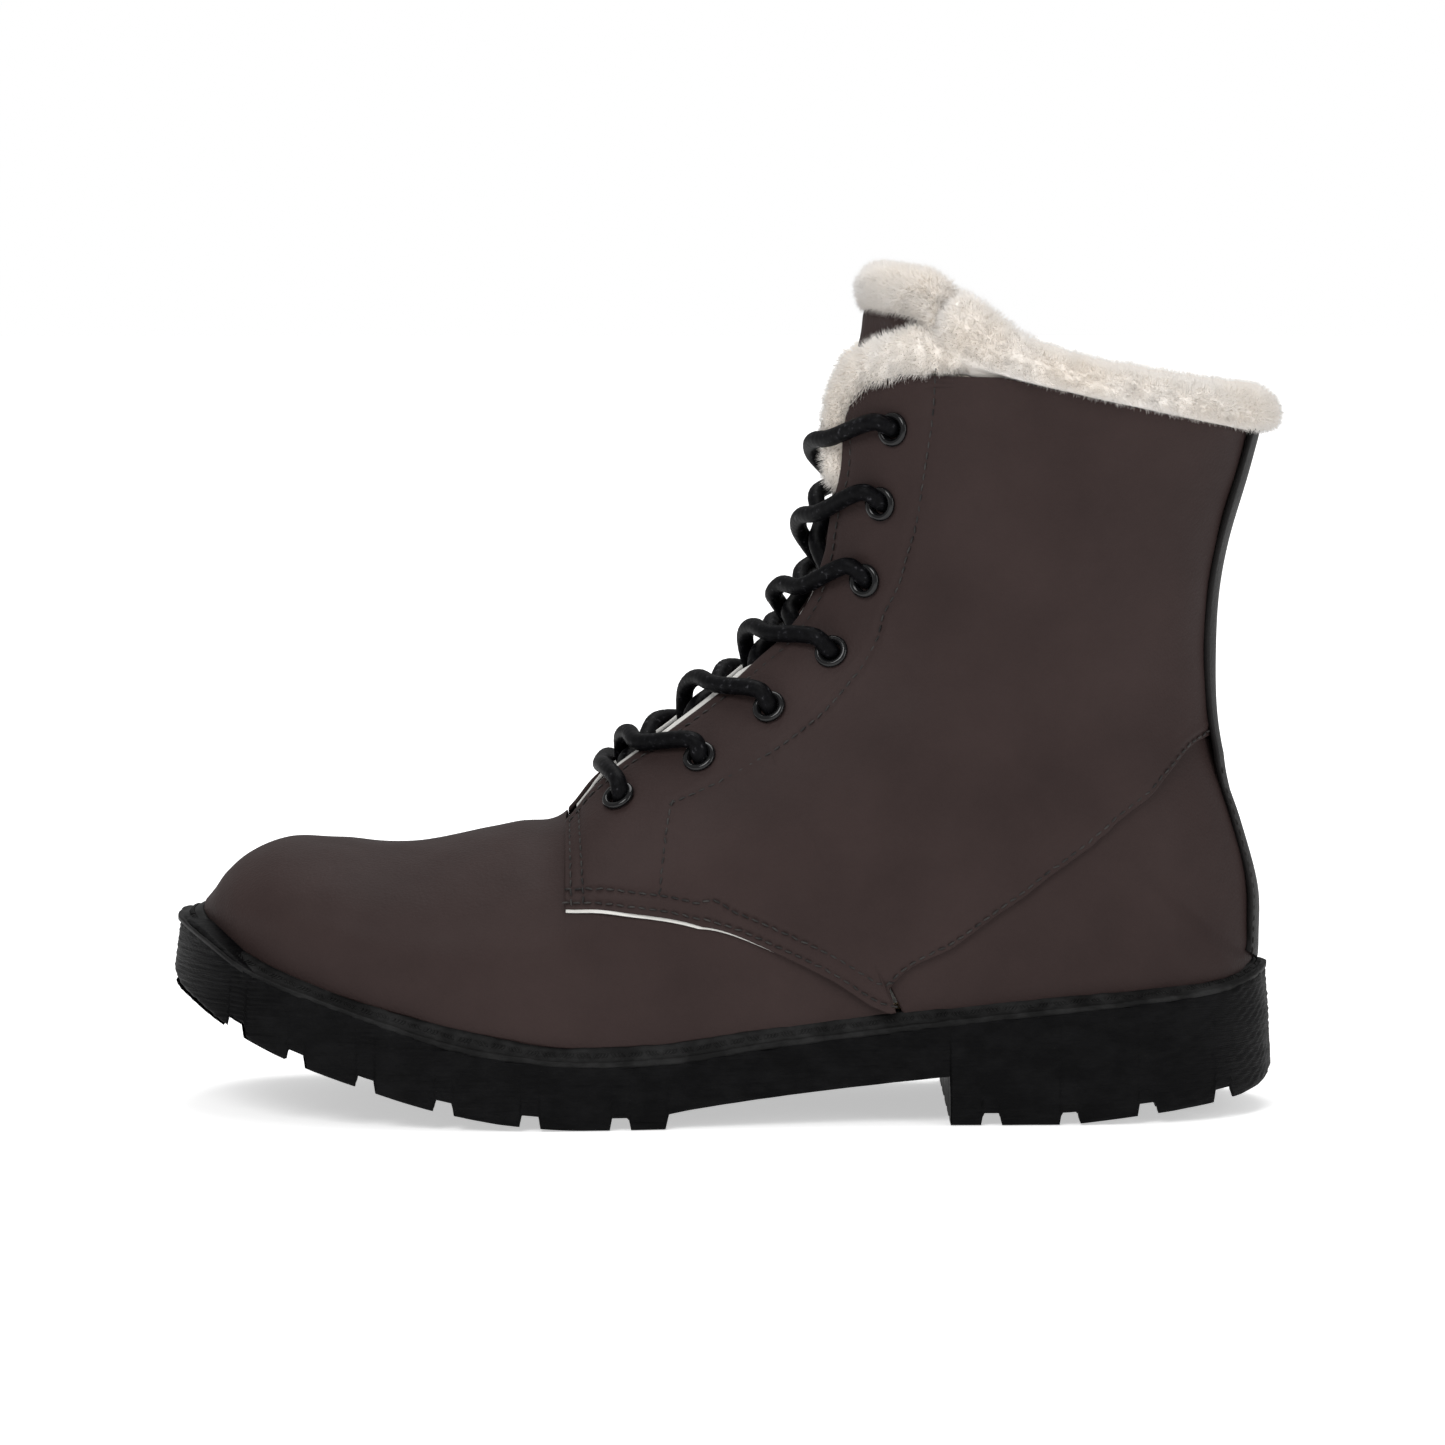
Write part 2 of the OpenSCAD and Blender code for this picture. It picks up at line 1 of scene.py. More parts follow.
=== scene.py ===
"""Left insulated lace-up boot: leather upper, plush collar, rubber sole, braided lace.

Lengths are in millimetres until mesh_object() turns them into metres.
Places on the upper are [s, t]: s runs from the toe tip (0) over the instep to the collar (26.5),
t runs round each section from the front (0) to the sole or the back (1), negative on the lateral side.
"""
import math
import bpy
import numpy as np
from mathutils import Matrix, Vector


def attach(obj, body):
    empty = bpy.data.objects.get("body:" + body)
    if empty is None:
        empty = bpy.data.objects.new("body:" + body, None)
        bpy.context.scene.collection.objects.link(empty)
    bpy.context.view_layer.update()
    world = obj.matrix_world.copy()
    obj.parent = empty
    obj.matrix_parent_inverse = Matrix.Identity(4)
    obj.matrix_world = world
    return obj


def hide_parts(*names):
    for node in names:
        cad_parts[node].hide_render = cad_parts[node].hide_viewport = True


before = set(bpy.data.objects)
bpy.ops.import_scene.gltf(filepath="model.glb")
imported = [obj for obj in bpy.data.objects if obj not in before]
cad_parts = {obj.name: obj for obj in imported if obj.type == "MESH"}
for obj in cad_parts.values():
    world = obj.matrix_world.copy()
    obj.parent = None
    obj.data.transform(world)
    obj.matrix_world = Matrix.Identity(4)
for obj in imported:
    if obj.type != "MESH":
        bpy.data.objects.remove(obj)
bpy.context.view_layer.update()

MM = 0.001
LATERAL, MEDIAL = -1, 1
# distances from a panel's edge at which its mesh has lines
RIM = np.array([0, .12, .35, .75, 1.5])
SIDES = ((LATERAL, "lateral"), (MEDIAL, "medial"))
LEATHER, LINING, PLUSH = 1.7, 5.65, 3.0
FACING_BACK = 2.1
LACE_R = 2.4
LACE_INSIDE = FACING_BACK + 0.6 + LACE_R - 0.3
THROAT, WAIST, HEEL_BACK, COLLAR = 9.15, 12.88, 18, 26.5

# x and z of the section's front, x and z of its back, half width, where it is widest,
# half width at the back, y of the centre, ridge shape
FOOT = np.array([
    [-140.5, 55, -140.5, 50, 9, .60, 8.5, 4.7, 1],
    [-138, 58, -138, 48.5, 16.5, .62, 16, 4.7, 1],
    [-134.5, 63, -134.5, 46.5, 24.5, .62, 23.5, 4.7, 1],
    [-128.5, 68, -128.5, 44, 32.5, .62, 31.5, 4.2, 1],
    [-118, 72, -118, 40, 40.5, .62, 39, 3.2, 1],
    [-104, 72, -104, 35.5, 46, .62, 44.5, 2.2, 1],
    [-87, 71, -87, 30.5, 49.5, .64, 48, 1.2, 1],
    [-70, 73.5, -70, 26.5, 51.5, .66, 50, .2, 1],
    [-56, 76.5, -56, 24, 52, .66, 50.5, -.3, 1],
    [-43, 79, -42, 21.5, 51, .66, 49.5, -1.3, 1],
    [-34, 89.5, -26, 21.5, 48.5, .66, 47.5, -2.3, 1.1],
    [-22, 99.5, -6, 23, 45, .64, 44, -3.3, 1.15],
    [-9, 109.5, 20, 26, 42, .60, 40, -3.8, 1.15],
    [5, 121, 52, 29, 40, .56, 36.5, -3.8, 1.15],
    [13, 129.5, 84, 32, 39, .52, 35.5, -3.3, 1.1],
    [17.5, 136, 112, 34, 38.5, .50, 33.5, -2.8, 1.1],
    [20, 140.5, 131, 35.5, 38.5, .49, 26.5, -2.3, 1.1],
    [21.5, 144, 142, 37, 38, .48, 14, -2.3, 1.05]])
SHAFT = [
    [22.5, 147.5, 146, 40, 38], [23.5, 151, 146.5, 48, 37.5], [25, 156, 146, 61, 37.5],
    [26, 162, 141.5, 78, 37.5], [27, 168.5, 135.5, 96, 37.5], [28.5, 176, 132.5, 115, 38],
    [30.5, 184, 132.5, 135, 39], [32.5, 193, 135.5, 155, 40], [35, 203, 141, 175, 41],
    [37.5, 213, 146, 193, 42], [40, 224, 150, 210, 43], [42, 235, 153, 227, 44]]
STATIONS = np.vstack([FOOT, [row + [.48, 0, -2.3, 1.05] for row in SHAFT]])


def smooth_table(table):
    """Function that runs smoothly through a table, without overshoot."""
    x, y = np.array(table, float).T
    h, slope = np.diff(x), np.diff(y) / np.diff(x)
    m = np.zeros(len(x))
    same = slope[:-1] * slope[1:] > 0
    w1, w2 = 2 * h[1:] + h[:-1], h[1:] + 2 * h[:-1]
    m[1:-1][same] = ((w1 + w2)[same] / (w1[same] / slope[:-1][same] + w2[same] / slope[1:][same]))
    m[0], m[-1] = slope[0], slope[-1]

    def value(v):
        v = np.clip(np.asarray(v, float), x[0], x[-1])
        i = np.clip(np.searchsorted(x, v, side="right") - 1, 0, len(x) - 2)
        f = (v - x[i]) / h[i]
        return ((1 + 2 * f) * (1 - f) ** 2 * y[i] + f * (1 - f) ** 2 * h[i] * m[i]
                + f * f * (3 - 2 * f) * y[i + 1] + f * f * (f - 1) * h[i] * m[i + 1])
    return value


# Panel edges as [s, t]
facing_edge = smooth_table([
    [9, .11], [10.5, .11], [11.5, .12], [13, .12], [14.5, .132], [20.5, .13], [23, .15], [24.5, .13],
    [25.2, .14], [25.5, .16], [25.9, .2], [26.2, .31], [26.5, .42]])
quarter_edge = smooth_table([
    [9, .35], [10.3, .42], [11.4, .50], [12.1, .63], [12.5, .735], [12.88, .89], [12.92, .79],
    [13.7, .712], [14.5, .66], [15.5, .622], [16.5, .607], [17.5, .604], [18.5, .614], [19.5, .64],
    [20.5, .69], [21.4, .76], [22, .835], [22.4, .945], [22.6, 1], [27, 1]])
stay_edge = smooth_table([
    [9, .26], [11.5, .29], [13.5, .30], [16, .28], [19, .28], [21, .305], [24, .33], [27, .33]])
tongue_edge = smooth_table([
    [8.8, .12], [11, .2], [15, .25], [24, .25], [26, .23], [29, .22]])
TONGUE_MIDDLE = [[8.8, 3.2], [10, 3.8], [11, 5.2], [15, 5.3], [17, 5.8], [23.5, 5.8], [25.3, 3.2], [27.2, 1]]
EYELETS = [[10.55, .205], [12, .235], [13.2, .232], [15.3, .23], [20.05, .235], [22.85, .262], [24.8, .26]]
CROSSINGS = [10.75, 12.2, 13.55, 15.1, 20, 23.2]
EDGE_PASSES = [[11.05, 11.4], [12.55, 12.75], [14.1, 14.3], [16.8, 17.6], [21.1, 21.7], [23.8, 24.1]]
EDGE_EXITS = [10.6, 11.85, 13.12, 14.8, 19.1, 22.6]
CUFF_TOP = [[.3, 28.15], [.345, 27.85], [.4, 27.5], [.46, 27.2], [.6, 27.02], [1, 27.08]]

# Heights of the sole seen from the side as [x, z]
sole_top = smooth_table([
    [-153, 52], [-147, 51], [-140, 48], [-125, 39.5], [-106, 33], [-88, 27], [-70, 21.5], [-60, 19.5],
    [-32, 17], [-10, 18], [10, 21], [36, 24], [75, 28.5], [114, 32.5], [138, 35], [153, 39.5]])
welt_top = smooth_table([
    [-153, 57], [-142, 56], [-140, 53], [-131, 46.5], [-112, 38.5], [-94, 32.5], [-76, 28], [-60, 24.5],
    [-42, 21.5], [-18, 22], [10, 25.5], [36, 28.5], [60, 31], [90, 33.5], [122, 36], [153, 41]])
toe_curve = smooth_table([
    [-153, 40], [-151.5, 36.5], [-142, 30.5], [-129, 23.5], [-114, 17], [-96, 11], [-75, 5], [-52, 1],
    [-36, 0], [-14, 0]])
heel_curve = smooth_table([
    [62, 0], [90, 0], [112, 2], [133, 4.5], [142, 6], [152, 11], [153, 14]])
FOREFOOT_NOTCHES = [-130, -113, -94, -73, -50, -26]
HEEL_NOTCHES = [73, 94, 115, 136]
sole_margin = smooth_table([
    [-141, 11.5], [-110, 8], [-50, 5.5], [20, 4.5], [60, 6], [110, 7], [146, 6]])


# ---- curves and surfaces ----

PADDED = np.vstack([2 * STATIONS[0] - STATIONS[1], STATIONS, 2 * STATIONS[-1] - STATIONS[-2]])


def station(s):
    s = np.asarray(s, float)
    i = np.clip(np.floor(s).astype(int), 0, len(STATIONS) - 2)
    f = (s - i)[..., None]
    a, b, c, e = (PADDED[i + k] for k in range(4))
    return b + 0.5 * f * (c - a + f * (2 * a - 5 * b + 4 * c - e + f * (3 * (b - c) + e - a)))


def at(s, t, d=0.0):
    """Point on the upper at section s and place t, d inside the outer face of the vamp."""
    s, t, d = np.broadcast_arrays(np.asarray(s, float), np.asarray(t, float), np.asarray(d, float))
    r = station(s)
    a = np.minimum(np.abs(t), 1)
    run = r[..., 2:4] - r[..., 0:2]
    length = np.linalg.norm(run, axis=-1)
    along = run / length[..., None]
    chord = np.maximum(length - 2 * d, 0.5)
    half = np.maximum(r[..., 4] - d, 0.4)
    end = np.maximum(r[..., 6] - d, 0)
    front = a <= 0.5
    ph = np.where(front, a, a - 0.5) * math.pi
    v = np.where(front, r[..., 5] * (1 - np.cos(ph)), r[..., 5] + (1 - r[..., 5]) * np.sin(ph))
    y = np.where(front, half * np.sin(ph) ** r[..., 8], end + (half - end) * np.cos(ph))
    nose = np.maximum(0, 1 - s / 4)
    hem = 32 * np.maximum(np.abs(t) - 1, 0)
    reach = d + chord * v
    return np.stack([r[..., 0] + along[..., 0] * reach + d * nose,
                     r[..., 7] + np.sign(t) * y,
                     r[..., 1] + along[..., 1] * reach - hem], axis=-1)


def unit(v):
    return v / np.maximum(np.linalg.norm(v, axis=-1, keepdims=True), 1e-9)


def slopes(s, t):
    """Change of place on the outer face per section and per unit of t."""
    s, t = np.asarray(s, float), np.asarray(t, float)
    return ((at(s + 0.02, t) - at(s - 0.02, t)) / 0.04,
            (at(s, t + 0.004) - at(s, t - 0.004)) / 0.008)


def outward(s, t):
    ds, dt = slopes(s, t)
    return unit(np.cross(ds, dt))


def spline(points, step):
    """Smooth curve through points, resampled about every step mm."""
    p = np.asarray(points, float)
    p = np.vstack([2 * p[0] - p[1], p, 2 * p[-1] - p[-2]])
    out = []

    def mix(lo, hi, v, w):
        return (k[hi] - f) / (k[hi] - k[lo]) * v + (f - k[lo]) / (k[hi] - k[lo]) * w

    for i in range(1, len(p) - 2):
        a, b, c, e = p[i - 1:i + 3]
        k = [0.0]
        for u, v in ((a, b), (b, c), (c, e)):
            k.append(k[-1] + max(np.linalg.norm(v - u), 1e-6) ** 0.5)
        f = np.linspace(k[1], k[2], 24, endpoint=False)[:, None]
        first, second, third = mix(0, 1, a, b), mix(1, 2, b, c), mix(2, 3, c, e)
        out.append(mix(1, 2, mix(0, 2, first, second), mix(1, 3, second, third)))
    curve = np.vstack(out + [p[-2][None]])
    return resample(curve, step)


def way(curve):
    """Distance travelled along a line of points, at each of them."""
    return np.concatenate([[0], np.cumsum(np.linalg.norm(np.diff(curve, axis=0), axis=1))])


def resample_to(curve, n):
    """Line of n points evenly spaced along another line."""
    travelled = way(curve)
    wanted = np.linspace(0, travelled[-1], n)
    return np.stack([np.interp(wanted, travelled, curve[:, k]) for k in range(curve.shape[1])], axis=1)


def resample(curve, step):
    return resample_to(curve, max(int(round(way(curve)[-1] / step)), 2) + 1)


def ripple(p, size, seed):
    """Smooth repeatable noise from -1 to 1 over points in mm."""
    rng = np.random.default_rng(seed)
    total = np.zeros(p.shape[:-1])
    for _ in range(7):
        k = rng.normal(size=3)
        k *= 2 * math.pi / (size * np.linalg.norm(k)) * rng.uniform(0.7, 1.5)
        total += np.sin(p @ k + rng.uniform(0, 6.28))
    return total / 3.2


# ---- mesh building ----

def mesh_object(name, verts, faces, material, smooth=True):
    mesh = bpy.data.meshes.new(name)
    mesh.from_pydata((np.asarray(verts, float).reshape(-1, 3) * MM).tolist(), [], faces)
    mesh.validate()
    mesh.polygons.foreach_set("use_smooth", [smooth] * len(mesh.polygons))
    mesh.materials.append(material)
    mesh.update()
    obj = bpy.data.objects.new(name, mesh)
    bpy.context.collection.objects.link(obj)
    return obj


def put(obj, body, slot, *nodes):
    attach(obj, body)
    if nodes:
        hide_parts(*nodes)
    return obj


def grid_faces(m, n, start=0, loop=False, flip=False, closed=False):
    """Quads over m rows of n points; loop joins each row's ends, closed joins the last row to the first."""
    i, j = np.meshgrid(np.arange(m if closed else m - 1), np.arange(n if loop else n - 1), indexing="ij")
    a, k = (i + 1) % m, (j + 1) % n
    quad = np.stack([i * n + j, a * n + j, a * n + k, i * n + k], axis=-1).reshape(-1, 4) + start
    return (quad[:, ::-1] if flip else quad).tolist()


def tube_faces(m, n, start=0, flip=False):
    """Faces of a tube of m rings of n points, closed at both ends."""
    faces = grid_faces(m, n, start, loop=True, flip=flip)
    ends = [[start + k for k in range(n)], [start + (m - 1) * n + k for k in reversed(range(n))]]
    return faces + [e[::-1] if flip else e for e in ends]


def circle(centre, radius, u, v, n):
    """Ring of n points about a centre, from u towards v."""
    w = 2 * math.pi * np.arange(n)[:, None] / n
    return centre + radius * (u * np.cos(w) + v * np.sin(w))


def sheet_object(name, near_points, far_points, material, keep=None):
    """Closed sheet between two grids of points; keep(i, j) leaves cells out."""
    m, n = near_points.shape[:2]
    mask = np.ones((m - 1, n - 1), bool) if keep is None else np.array(
        [[keep(i, j) for j in range(n - 1)] for i in range(m - 1)])
    ids = np.arange(m * n).reshape(m, n)
    far = m * n
    a, b, c, e = ids[:-1, :-1], ids[1:, :-1], ids[1:, 1:], ids[:-1, 1:]
    faces = np.concatenate([np.stack([a, b, c, e], -1)[mask],
                            np.stack([e + far, c + far, b + far, a + far], -1)[mask]]).tolist()
    pad = np.pad(mask, 1)
    up, down = mask & ~pad[:-2, 1:-1], mask & ~pad[2:, 1:-1]
    left, right = mask & ~pad[1:-1, :-2], mask & ~pad[1:-1, 2:]
    for edge, p, q in ((up, e, a), (down, b, c), (left, a, b), (right, c, e)):
        faces += np.stack([q, p, p + far, q + far], -1)[edge].tolist()
    return mesh_object(name, np.concatenate([near_points.reshape(-1, 3), far_points.reshape(-1, 3)]),
                       faces, material)


def layer(name, s, t, near, far, material, slot, *nodes, body="boot"):
    """Closed sheet on the upper between two depths, put on its body."""
    return put(sheet_object(name, at(s, t, near), at(s, t, far), material), body, slot, *nodes)


def edge_fractions(length, n):
    """Fractions across a strip of this length, close together at both edges."""
    rim = RIM[None, :] / np.maximum(length[:, None], 6)
    inner = np.linspace(0, 1, n)[None, 1:-1]
    middle = rim[:, -1:] + (1 - 2 * rim[:, -1:]) * inner
    return np.concatenate([rim, middle, 1 - rim[:, ::-1]], axis=1)


def section_grid(rows, t):
    """Grid of the rows' sections, as wide as t."""
    return np.repeat(np.asarray(rows, float)[:, None], t.shape[1], axis=1)


def strip_places(rows, lo, hi, n, side):
    """s and t grids for a panel between edges lo(s) and hi(s), ordered so that faces point out."""
    rows = np.asarray(rows, float)
    a, b = lo(rows), hi(rows)
    f = np.linspace(0, 1, 24)[None, :]
    p = at(rows[:, None], a[:, None] + (b - a)[:, None] * f)
    length = np.linalg.norm(np.diff(p, axis=1), axis=-1).sum(axis=1)
    t = a[:, None] + (b - a)[:, None] * edge_fractions(length, n)
    s = section_grid(rows, t)
    return (s, t) if side > 0 else (s, -t[:, ::-1])


def edge_rows(first, last, n, rim=RIM, where=.3):
    """Sections from first to last, close together at both ends."""
    per_mm = [1 / np.linalg.norm(slopes(s, where)[0]) for s in (first, last)]
    start = first + np.array(rim) * per_mm[0]
    end = last - np.array(rim)[::-1] * per_mm[1]
    return np.concatenate([start, np.linspace(start[-1], end[0], n)[1:-1], end])


def rounding(points, radius, sides=(1, 1, 1, 1)):
    """How far the outer face drops near the panel's edges: first row, last row, first column, last column."""
    def travelled(axis):
        step = np.linalg.norm(np.diff(points, axis=axis), axis=-1)
        none = np.zeros_like(np.take(step, [0], axis))
        return np.concatenate([none, np.cumsum(step, axis=axis)], axis=axis)
    down, across = travelled(0), travelled(1)
    distances = [down, down[-1:] - down, across, across[:, -1:] - across]
    drop = np.zeros(points.shape[:2])
    for distance, share in zip(distances, sides):
        r = np.broadcast_to(np.asarray(share, float) * radius, drop.shape)
        x = np.clip(r - distance, 0, r)
        drop = np.maximum(drop, r - np.sqrt(r * r - x * x))
    return drop


def nearest(points, line):
    """Distance in mm from each point to the nearest point of a line."""
    flat = points.reshape(-1, 3)
    out = np.empty(len(flat))
    for i in range(0, len(flat), 4000):
        part = flat[i:i + 4000]
        out[i:i + 4000] = np.sqrt(((part[:, None] - line[None]) ** 2).sum(-1).min(1))
    return out.reshape(points.shape[:-1])


# ---- materials ----

def material(name, colour, rough=0.5, **sockets):
    """New material; sockets are named as on the shader, with _ for a space."""
    mat = bpy.data.materials.new(name)
    mat.use_nodes = True
    shader = mat.node_tree.nodes["Principled BSDF"]
    shader.inputs["Base Color"].default_value = (*colour, 1)
    shader.inputs["Roughness"].default_value = rough
    for key, value in sockets.items():
        shader.inputs[key.replace("_", " ")].default_value = value
    return mat


def node(mat, kind, **values):
    new = mat.node_tree.nodes.new(kind)
    for key, value in values.items():
        if key in new.bl_rna.properties and not key.startswith("in_"):
            setattr(new, key, value)
        else:
            new.inputs[key.removeprefix("in_").replace("_", " ")].default_value = value
    return new


def link(mat, a, out, b, into):
    mat.node_tree.links.new(a.outputs[out], b.inputs[into])


def shader_of(mat):
    return mat.node_tree.nodes["Principled BSDF"]


def place_source(mat, stretch=(1, 1, 1)):
    """Object coordinates in metres, stretched along the axes."""
    source = node(mat, "ShaderNodeTexCoord")
    scale = node(mat, "ShaderNodeMapping", in_Scale=stretch)
    link(mat, source, "Object", scale, "Vector")
    return scale


def noise(mat, source, scale, detail=4.0, rough=0.55):
    tex = node(mat, "ShaderNodeTexNoise", in_Scale=scale, in_Detail=detail, in_Roughness=rough)
    link(mat, source, "Vector", tex, "Vector")
    return tex


def ramp(mat, tex, out, stops):
    """Colour ramp over a texture; stops are (position, colour)."""
    new = node(mat, "ShaderNodeValToRGB")
    link(mat, tex, out, new, "Fac")
    elements = new.color_ramp.elements
    while len(elements) < len(stops):
        elements.new(0.5)
    for element, (position, colour) in zip(elements, stops):
        element.position = position
        element.color = (*colour, 1)
    return new


def bump(mat, tex, out, strength, distance, below=None):
    new = node(mat, "ShaderNodeBump", in_Strength=strength, in_Distance=distance)
    link(mat, tex, out, new, "Height")
    if below:
        link(mat, below, "Normal", new, "Normal")
    return new


def spread(mat, tex, out, low, high):
    new = node(mat, "ShaderNodeMapRange")
    new.inputs["To Min"].default_value = low
    new.inputs["To Max"].default_value = high
    link(mat, tex, out, new, "Value")
    return new


def leather_material(name, dark, light, rough=(0.48, 0.64)):
    """Fine pebbled grain with pores, cloudy colour and uneven gloss."""
    mat = material(name, dark, 0.5, Specular_IOR_Level=0.09)
    place = place_source(mat)
    clouds = noise(mat, place, 28, 5)
    tint = ramp(mat, clouds, "Fac", [(0.3, dark), (0.72, light)])
    grain = node(mat, "ShaderNodeTexVoronoi", in_Scale=1150)
    warp = noise(mat, place, 420, 3)
    bend = node(mat, "ShaderNodeMixRGB", blend_type="ADD")
    bend.inputs["Fac"].default_value = 0.0012
    link(mat, place, "Vector", bend, "Color1")
    link(mat, warp, "Color", bend, "Color2")
    link(mat, bend, "Color", grain, "Vector")
    pores = noise(mat, place, 2600, 2)
    creases = noise(mat, place_source(mat, (1, 1, 2.2)), 130, 6, 0.62)
    first = bump(mat, creases, "Fac", 0.35, 0.00035)
    second = bump(mat, grain, "Distance", 0.5, 0.00016, first)
    third = bump(mat, pores, "Fac", 0.3, 0.00006, second)
    gloss = spread(mat, noise(mat, place, 75, 4), "Fac", *rough)
    link(mat, tint, "Color", shader_of(mat), "Base Color")
    link(mat, gloss, "Result", shader_of(mat), "Roughness")
    link(mat, third, "Normal", shader_of(mat), "Normal")
    return mat


def rubber_material(name, dark, light, lines):
    """Black rubber; lines is how strongly the drawn, wood-like grain shows."""
    mat = material(name, dark, 0.5, Specular_IOR_Level=0.07)
    place = place_source(mat)
    drawn = noise(mat, place_source(mat, (0.07, 0.07, 1)), 1500, 4, 0.65)
    scuffs = noise(mat, place_source(mat, (1, 1, 1.6)), 95, 7, 0.7)
    tint = ramp(mat, scuffs, "Fac", [(0.42, dark), (0.78, light)])
    pits = noise(mat, place, 1400, 3)
    first = bump(mat, drawn, "Fac", lines, 0.0005)
    second = bump(mat, pits, "Fac", 0.35, 0.00012, first)
    gloss = spread(mat, scuffs, "Fac", 0.34, 0.66)
    link(mat, tint, "Color", shader_of(mat), "Base Color")
    link(mat, gloss, "Result", shader_of(mat), "Roughness")
    link(mat, second, "Normal", shader_of(mat), "Normal")
    return mat


def cloth_material(name, dark, light, scale=900, rough=0.9, sheen=0.2, depth=0.0003, blotch=40):
    """Felt, foam, board or pile: fibres of one size over larger patches of colour."""
    mat = material(name, dark, rough, Sheen_Weight=sheen, Specular_IOR_Level=0.2)
    place = place_source(mat)
    fibres = noise(mat, place, scale, 5, 0.7)
    patches = noise(mat, place, blotch, 4)
    tint = ramp(mat, patches, "Fac", [(0.32, dark), (0.68, light)])
    link(mat, tint, "Color", shader_of(mat), "Base Color")
    link(mat, bump(mat, fibres, "Fac", 0.6, depth), "Normal", shader_of(mat), "Normal")
    return mat


def braid_material():
    mat = material("lace_braid", (0.006, 0.006, 0.007), 0.5, Specular_IOR_Level=0.07)
    place = place_source(mat)
    threads = noise(mat, place, 3800, 3, 0.6)
    # Near-black tone that varies at random; the lightest stop paints specks of highlight onto the braid.
    tint = ramp(mat, noise(mat, place, 700, 3), "Fac", [
        (0.4, (0.0015, 0.0015, 0.002)), (0.62, (0.004, 0.004, 0.005)), (0.74, (0.05, 0.05, 0.055))])
    link(mat, tint, "Color", shader_of(mat), "Base Color")
    link(mat, bump(mat, threads, "Fac", 0.5, 0.00008), "Normal", shader_of(mat), "Normal")
    return mat


def enamel_material(name, colour, rough):
    """Gloss paint or plastic with faint orange peel."""
    mat = material(name, colour, rough, Coat_Weight=0.1, Specular_IOR_Level=0.3)
    place = place_source(mat)
    link(mat, bump(mat, noise(mat, place, 900, 2), "Fac", 0.06, 0.0001), "Normal", shader_of(mat), "Normal")
    link(mat, spread(mat, noise(mat, place, 300, 3), "Fac", rough * 0.8, rough * 1.4), "Result",
         shader_of(mat), "Roughness")
    return mat


def steel_material():
    mat = material("shank_steel", (0.56, 0.57, 0.58), 0.35, Metallic=1.0)
    drawn = noise(mat, place_source(mat, (0.05, 1, 1)), 1500, 4)
    link(mat, spread(mat, drawn, "Fac", 0.25, 0.5), "Result", shader_of(mat), "Roughness")
    link(mat, bump(mat, drawn, "Fac", 0.2, 0.0001), "Normal", shader_of(mat), "Normal")
    return mat


BROWN = leather_material("brown_leather", (0.030, 0.0195, 0.0185), (0.041, 0.027, 0.0255))
BLACK_LEATHER = leather_material("black_leather", (0.008, 0.0075, 0.0075), (0.017, 0.016, 0.016), (0.38, 0.6))
RUBBER = rubber_material("sole_rubber", (0.0015, 0.0015, 0.0018), (0.007, 0.007, 0.0075), 0.9)
WELT_RUBBER = rubber_material("welt_rubber", (0.008, 0.008, 0.008), (0.03, 0.03, 0.03), 0.15)
PLUSH_PILE = cloth_material("plush_pile", (0.80, 0.73, 0.64), (0.90, 0.86, 0.80),
                            1300, 0.95, 0.35, 0.0007, 60)
FUR = cloth_material("fur_fibre", (0.96, 0.89, 0.81), (0.985, 0.945, 0.9),
                     900, 0.85, 0.3, 0.0001, 45)
FELT_CLOTH = cloth_material("white_felt", (0.62, 0.61, 0.58), (0.76, 0.75, 0.72),
                            1500, 0.95, 0.15, 0.0003, 120)
STIFF_CLOTH = cloth_material("stiffener_cloth", (0.26, 0.21, 0.14), (0.34, 0.28, 0.19),
                             1900, 0.8, 0.05, 0.0002)
FOAM = cloth_material("tongue_foam", (0.50, 0.47, 0.36), (0.60, 0.57, 0.46),
                      700, 0.95, 0.0, 0.0005)
BOARD = cloth_material("fibre_board", (0.34, 0.25, 0.15), (0.45, 0.34, 0.22),
                       600, 0.85, 0.0, 0.0003)
THREAD = cloth_material("stitch_thread", (0.012, 0.011, 0.011), (0.05, 0.046, 0.044),
                        4000, 0.6, 0.0, 0.00005, 260)
BRAID = braid_material()
ENAMEL = enamel_material("eyelet_enamel", (0.005, 0.005, 0.0055), 0.12)
TIP_PLASTIC = enamel_material("aglet_plastic", (0.008, 0.008, 0.008), 0.25)
STEEL = steel_material()

for names, mat in (
        (("bottom_filler", "insole_board"), BOARD),
        (("shank",), STEEL),
        (("toe_puff", "heel_counter", "facing_stay_lateral", "facing_stay_medial"), STIFF_CLOTH),
        (("vamp_insulation", "quarter_insulation_lateral", "quarter_insulation_medial"), FELT_CLOTH),
        (("tongue_padding",), FOAM),
        (("eyelet_washers_lateral", "eyelet_washers_medial"), ENAMEL)):
    for name in names:
        for material_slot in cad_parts[name].material_slots:
            material_slot.material = mat


# ---- stitching ----

def follow(edge, side, start, stop, n=160):
    """Line on the upper that follows an edge between two sections."""
    s = np.linspace(start, stop, n)
    return np.stack([s, side * edge(s)], axis=1)


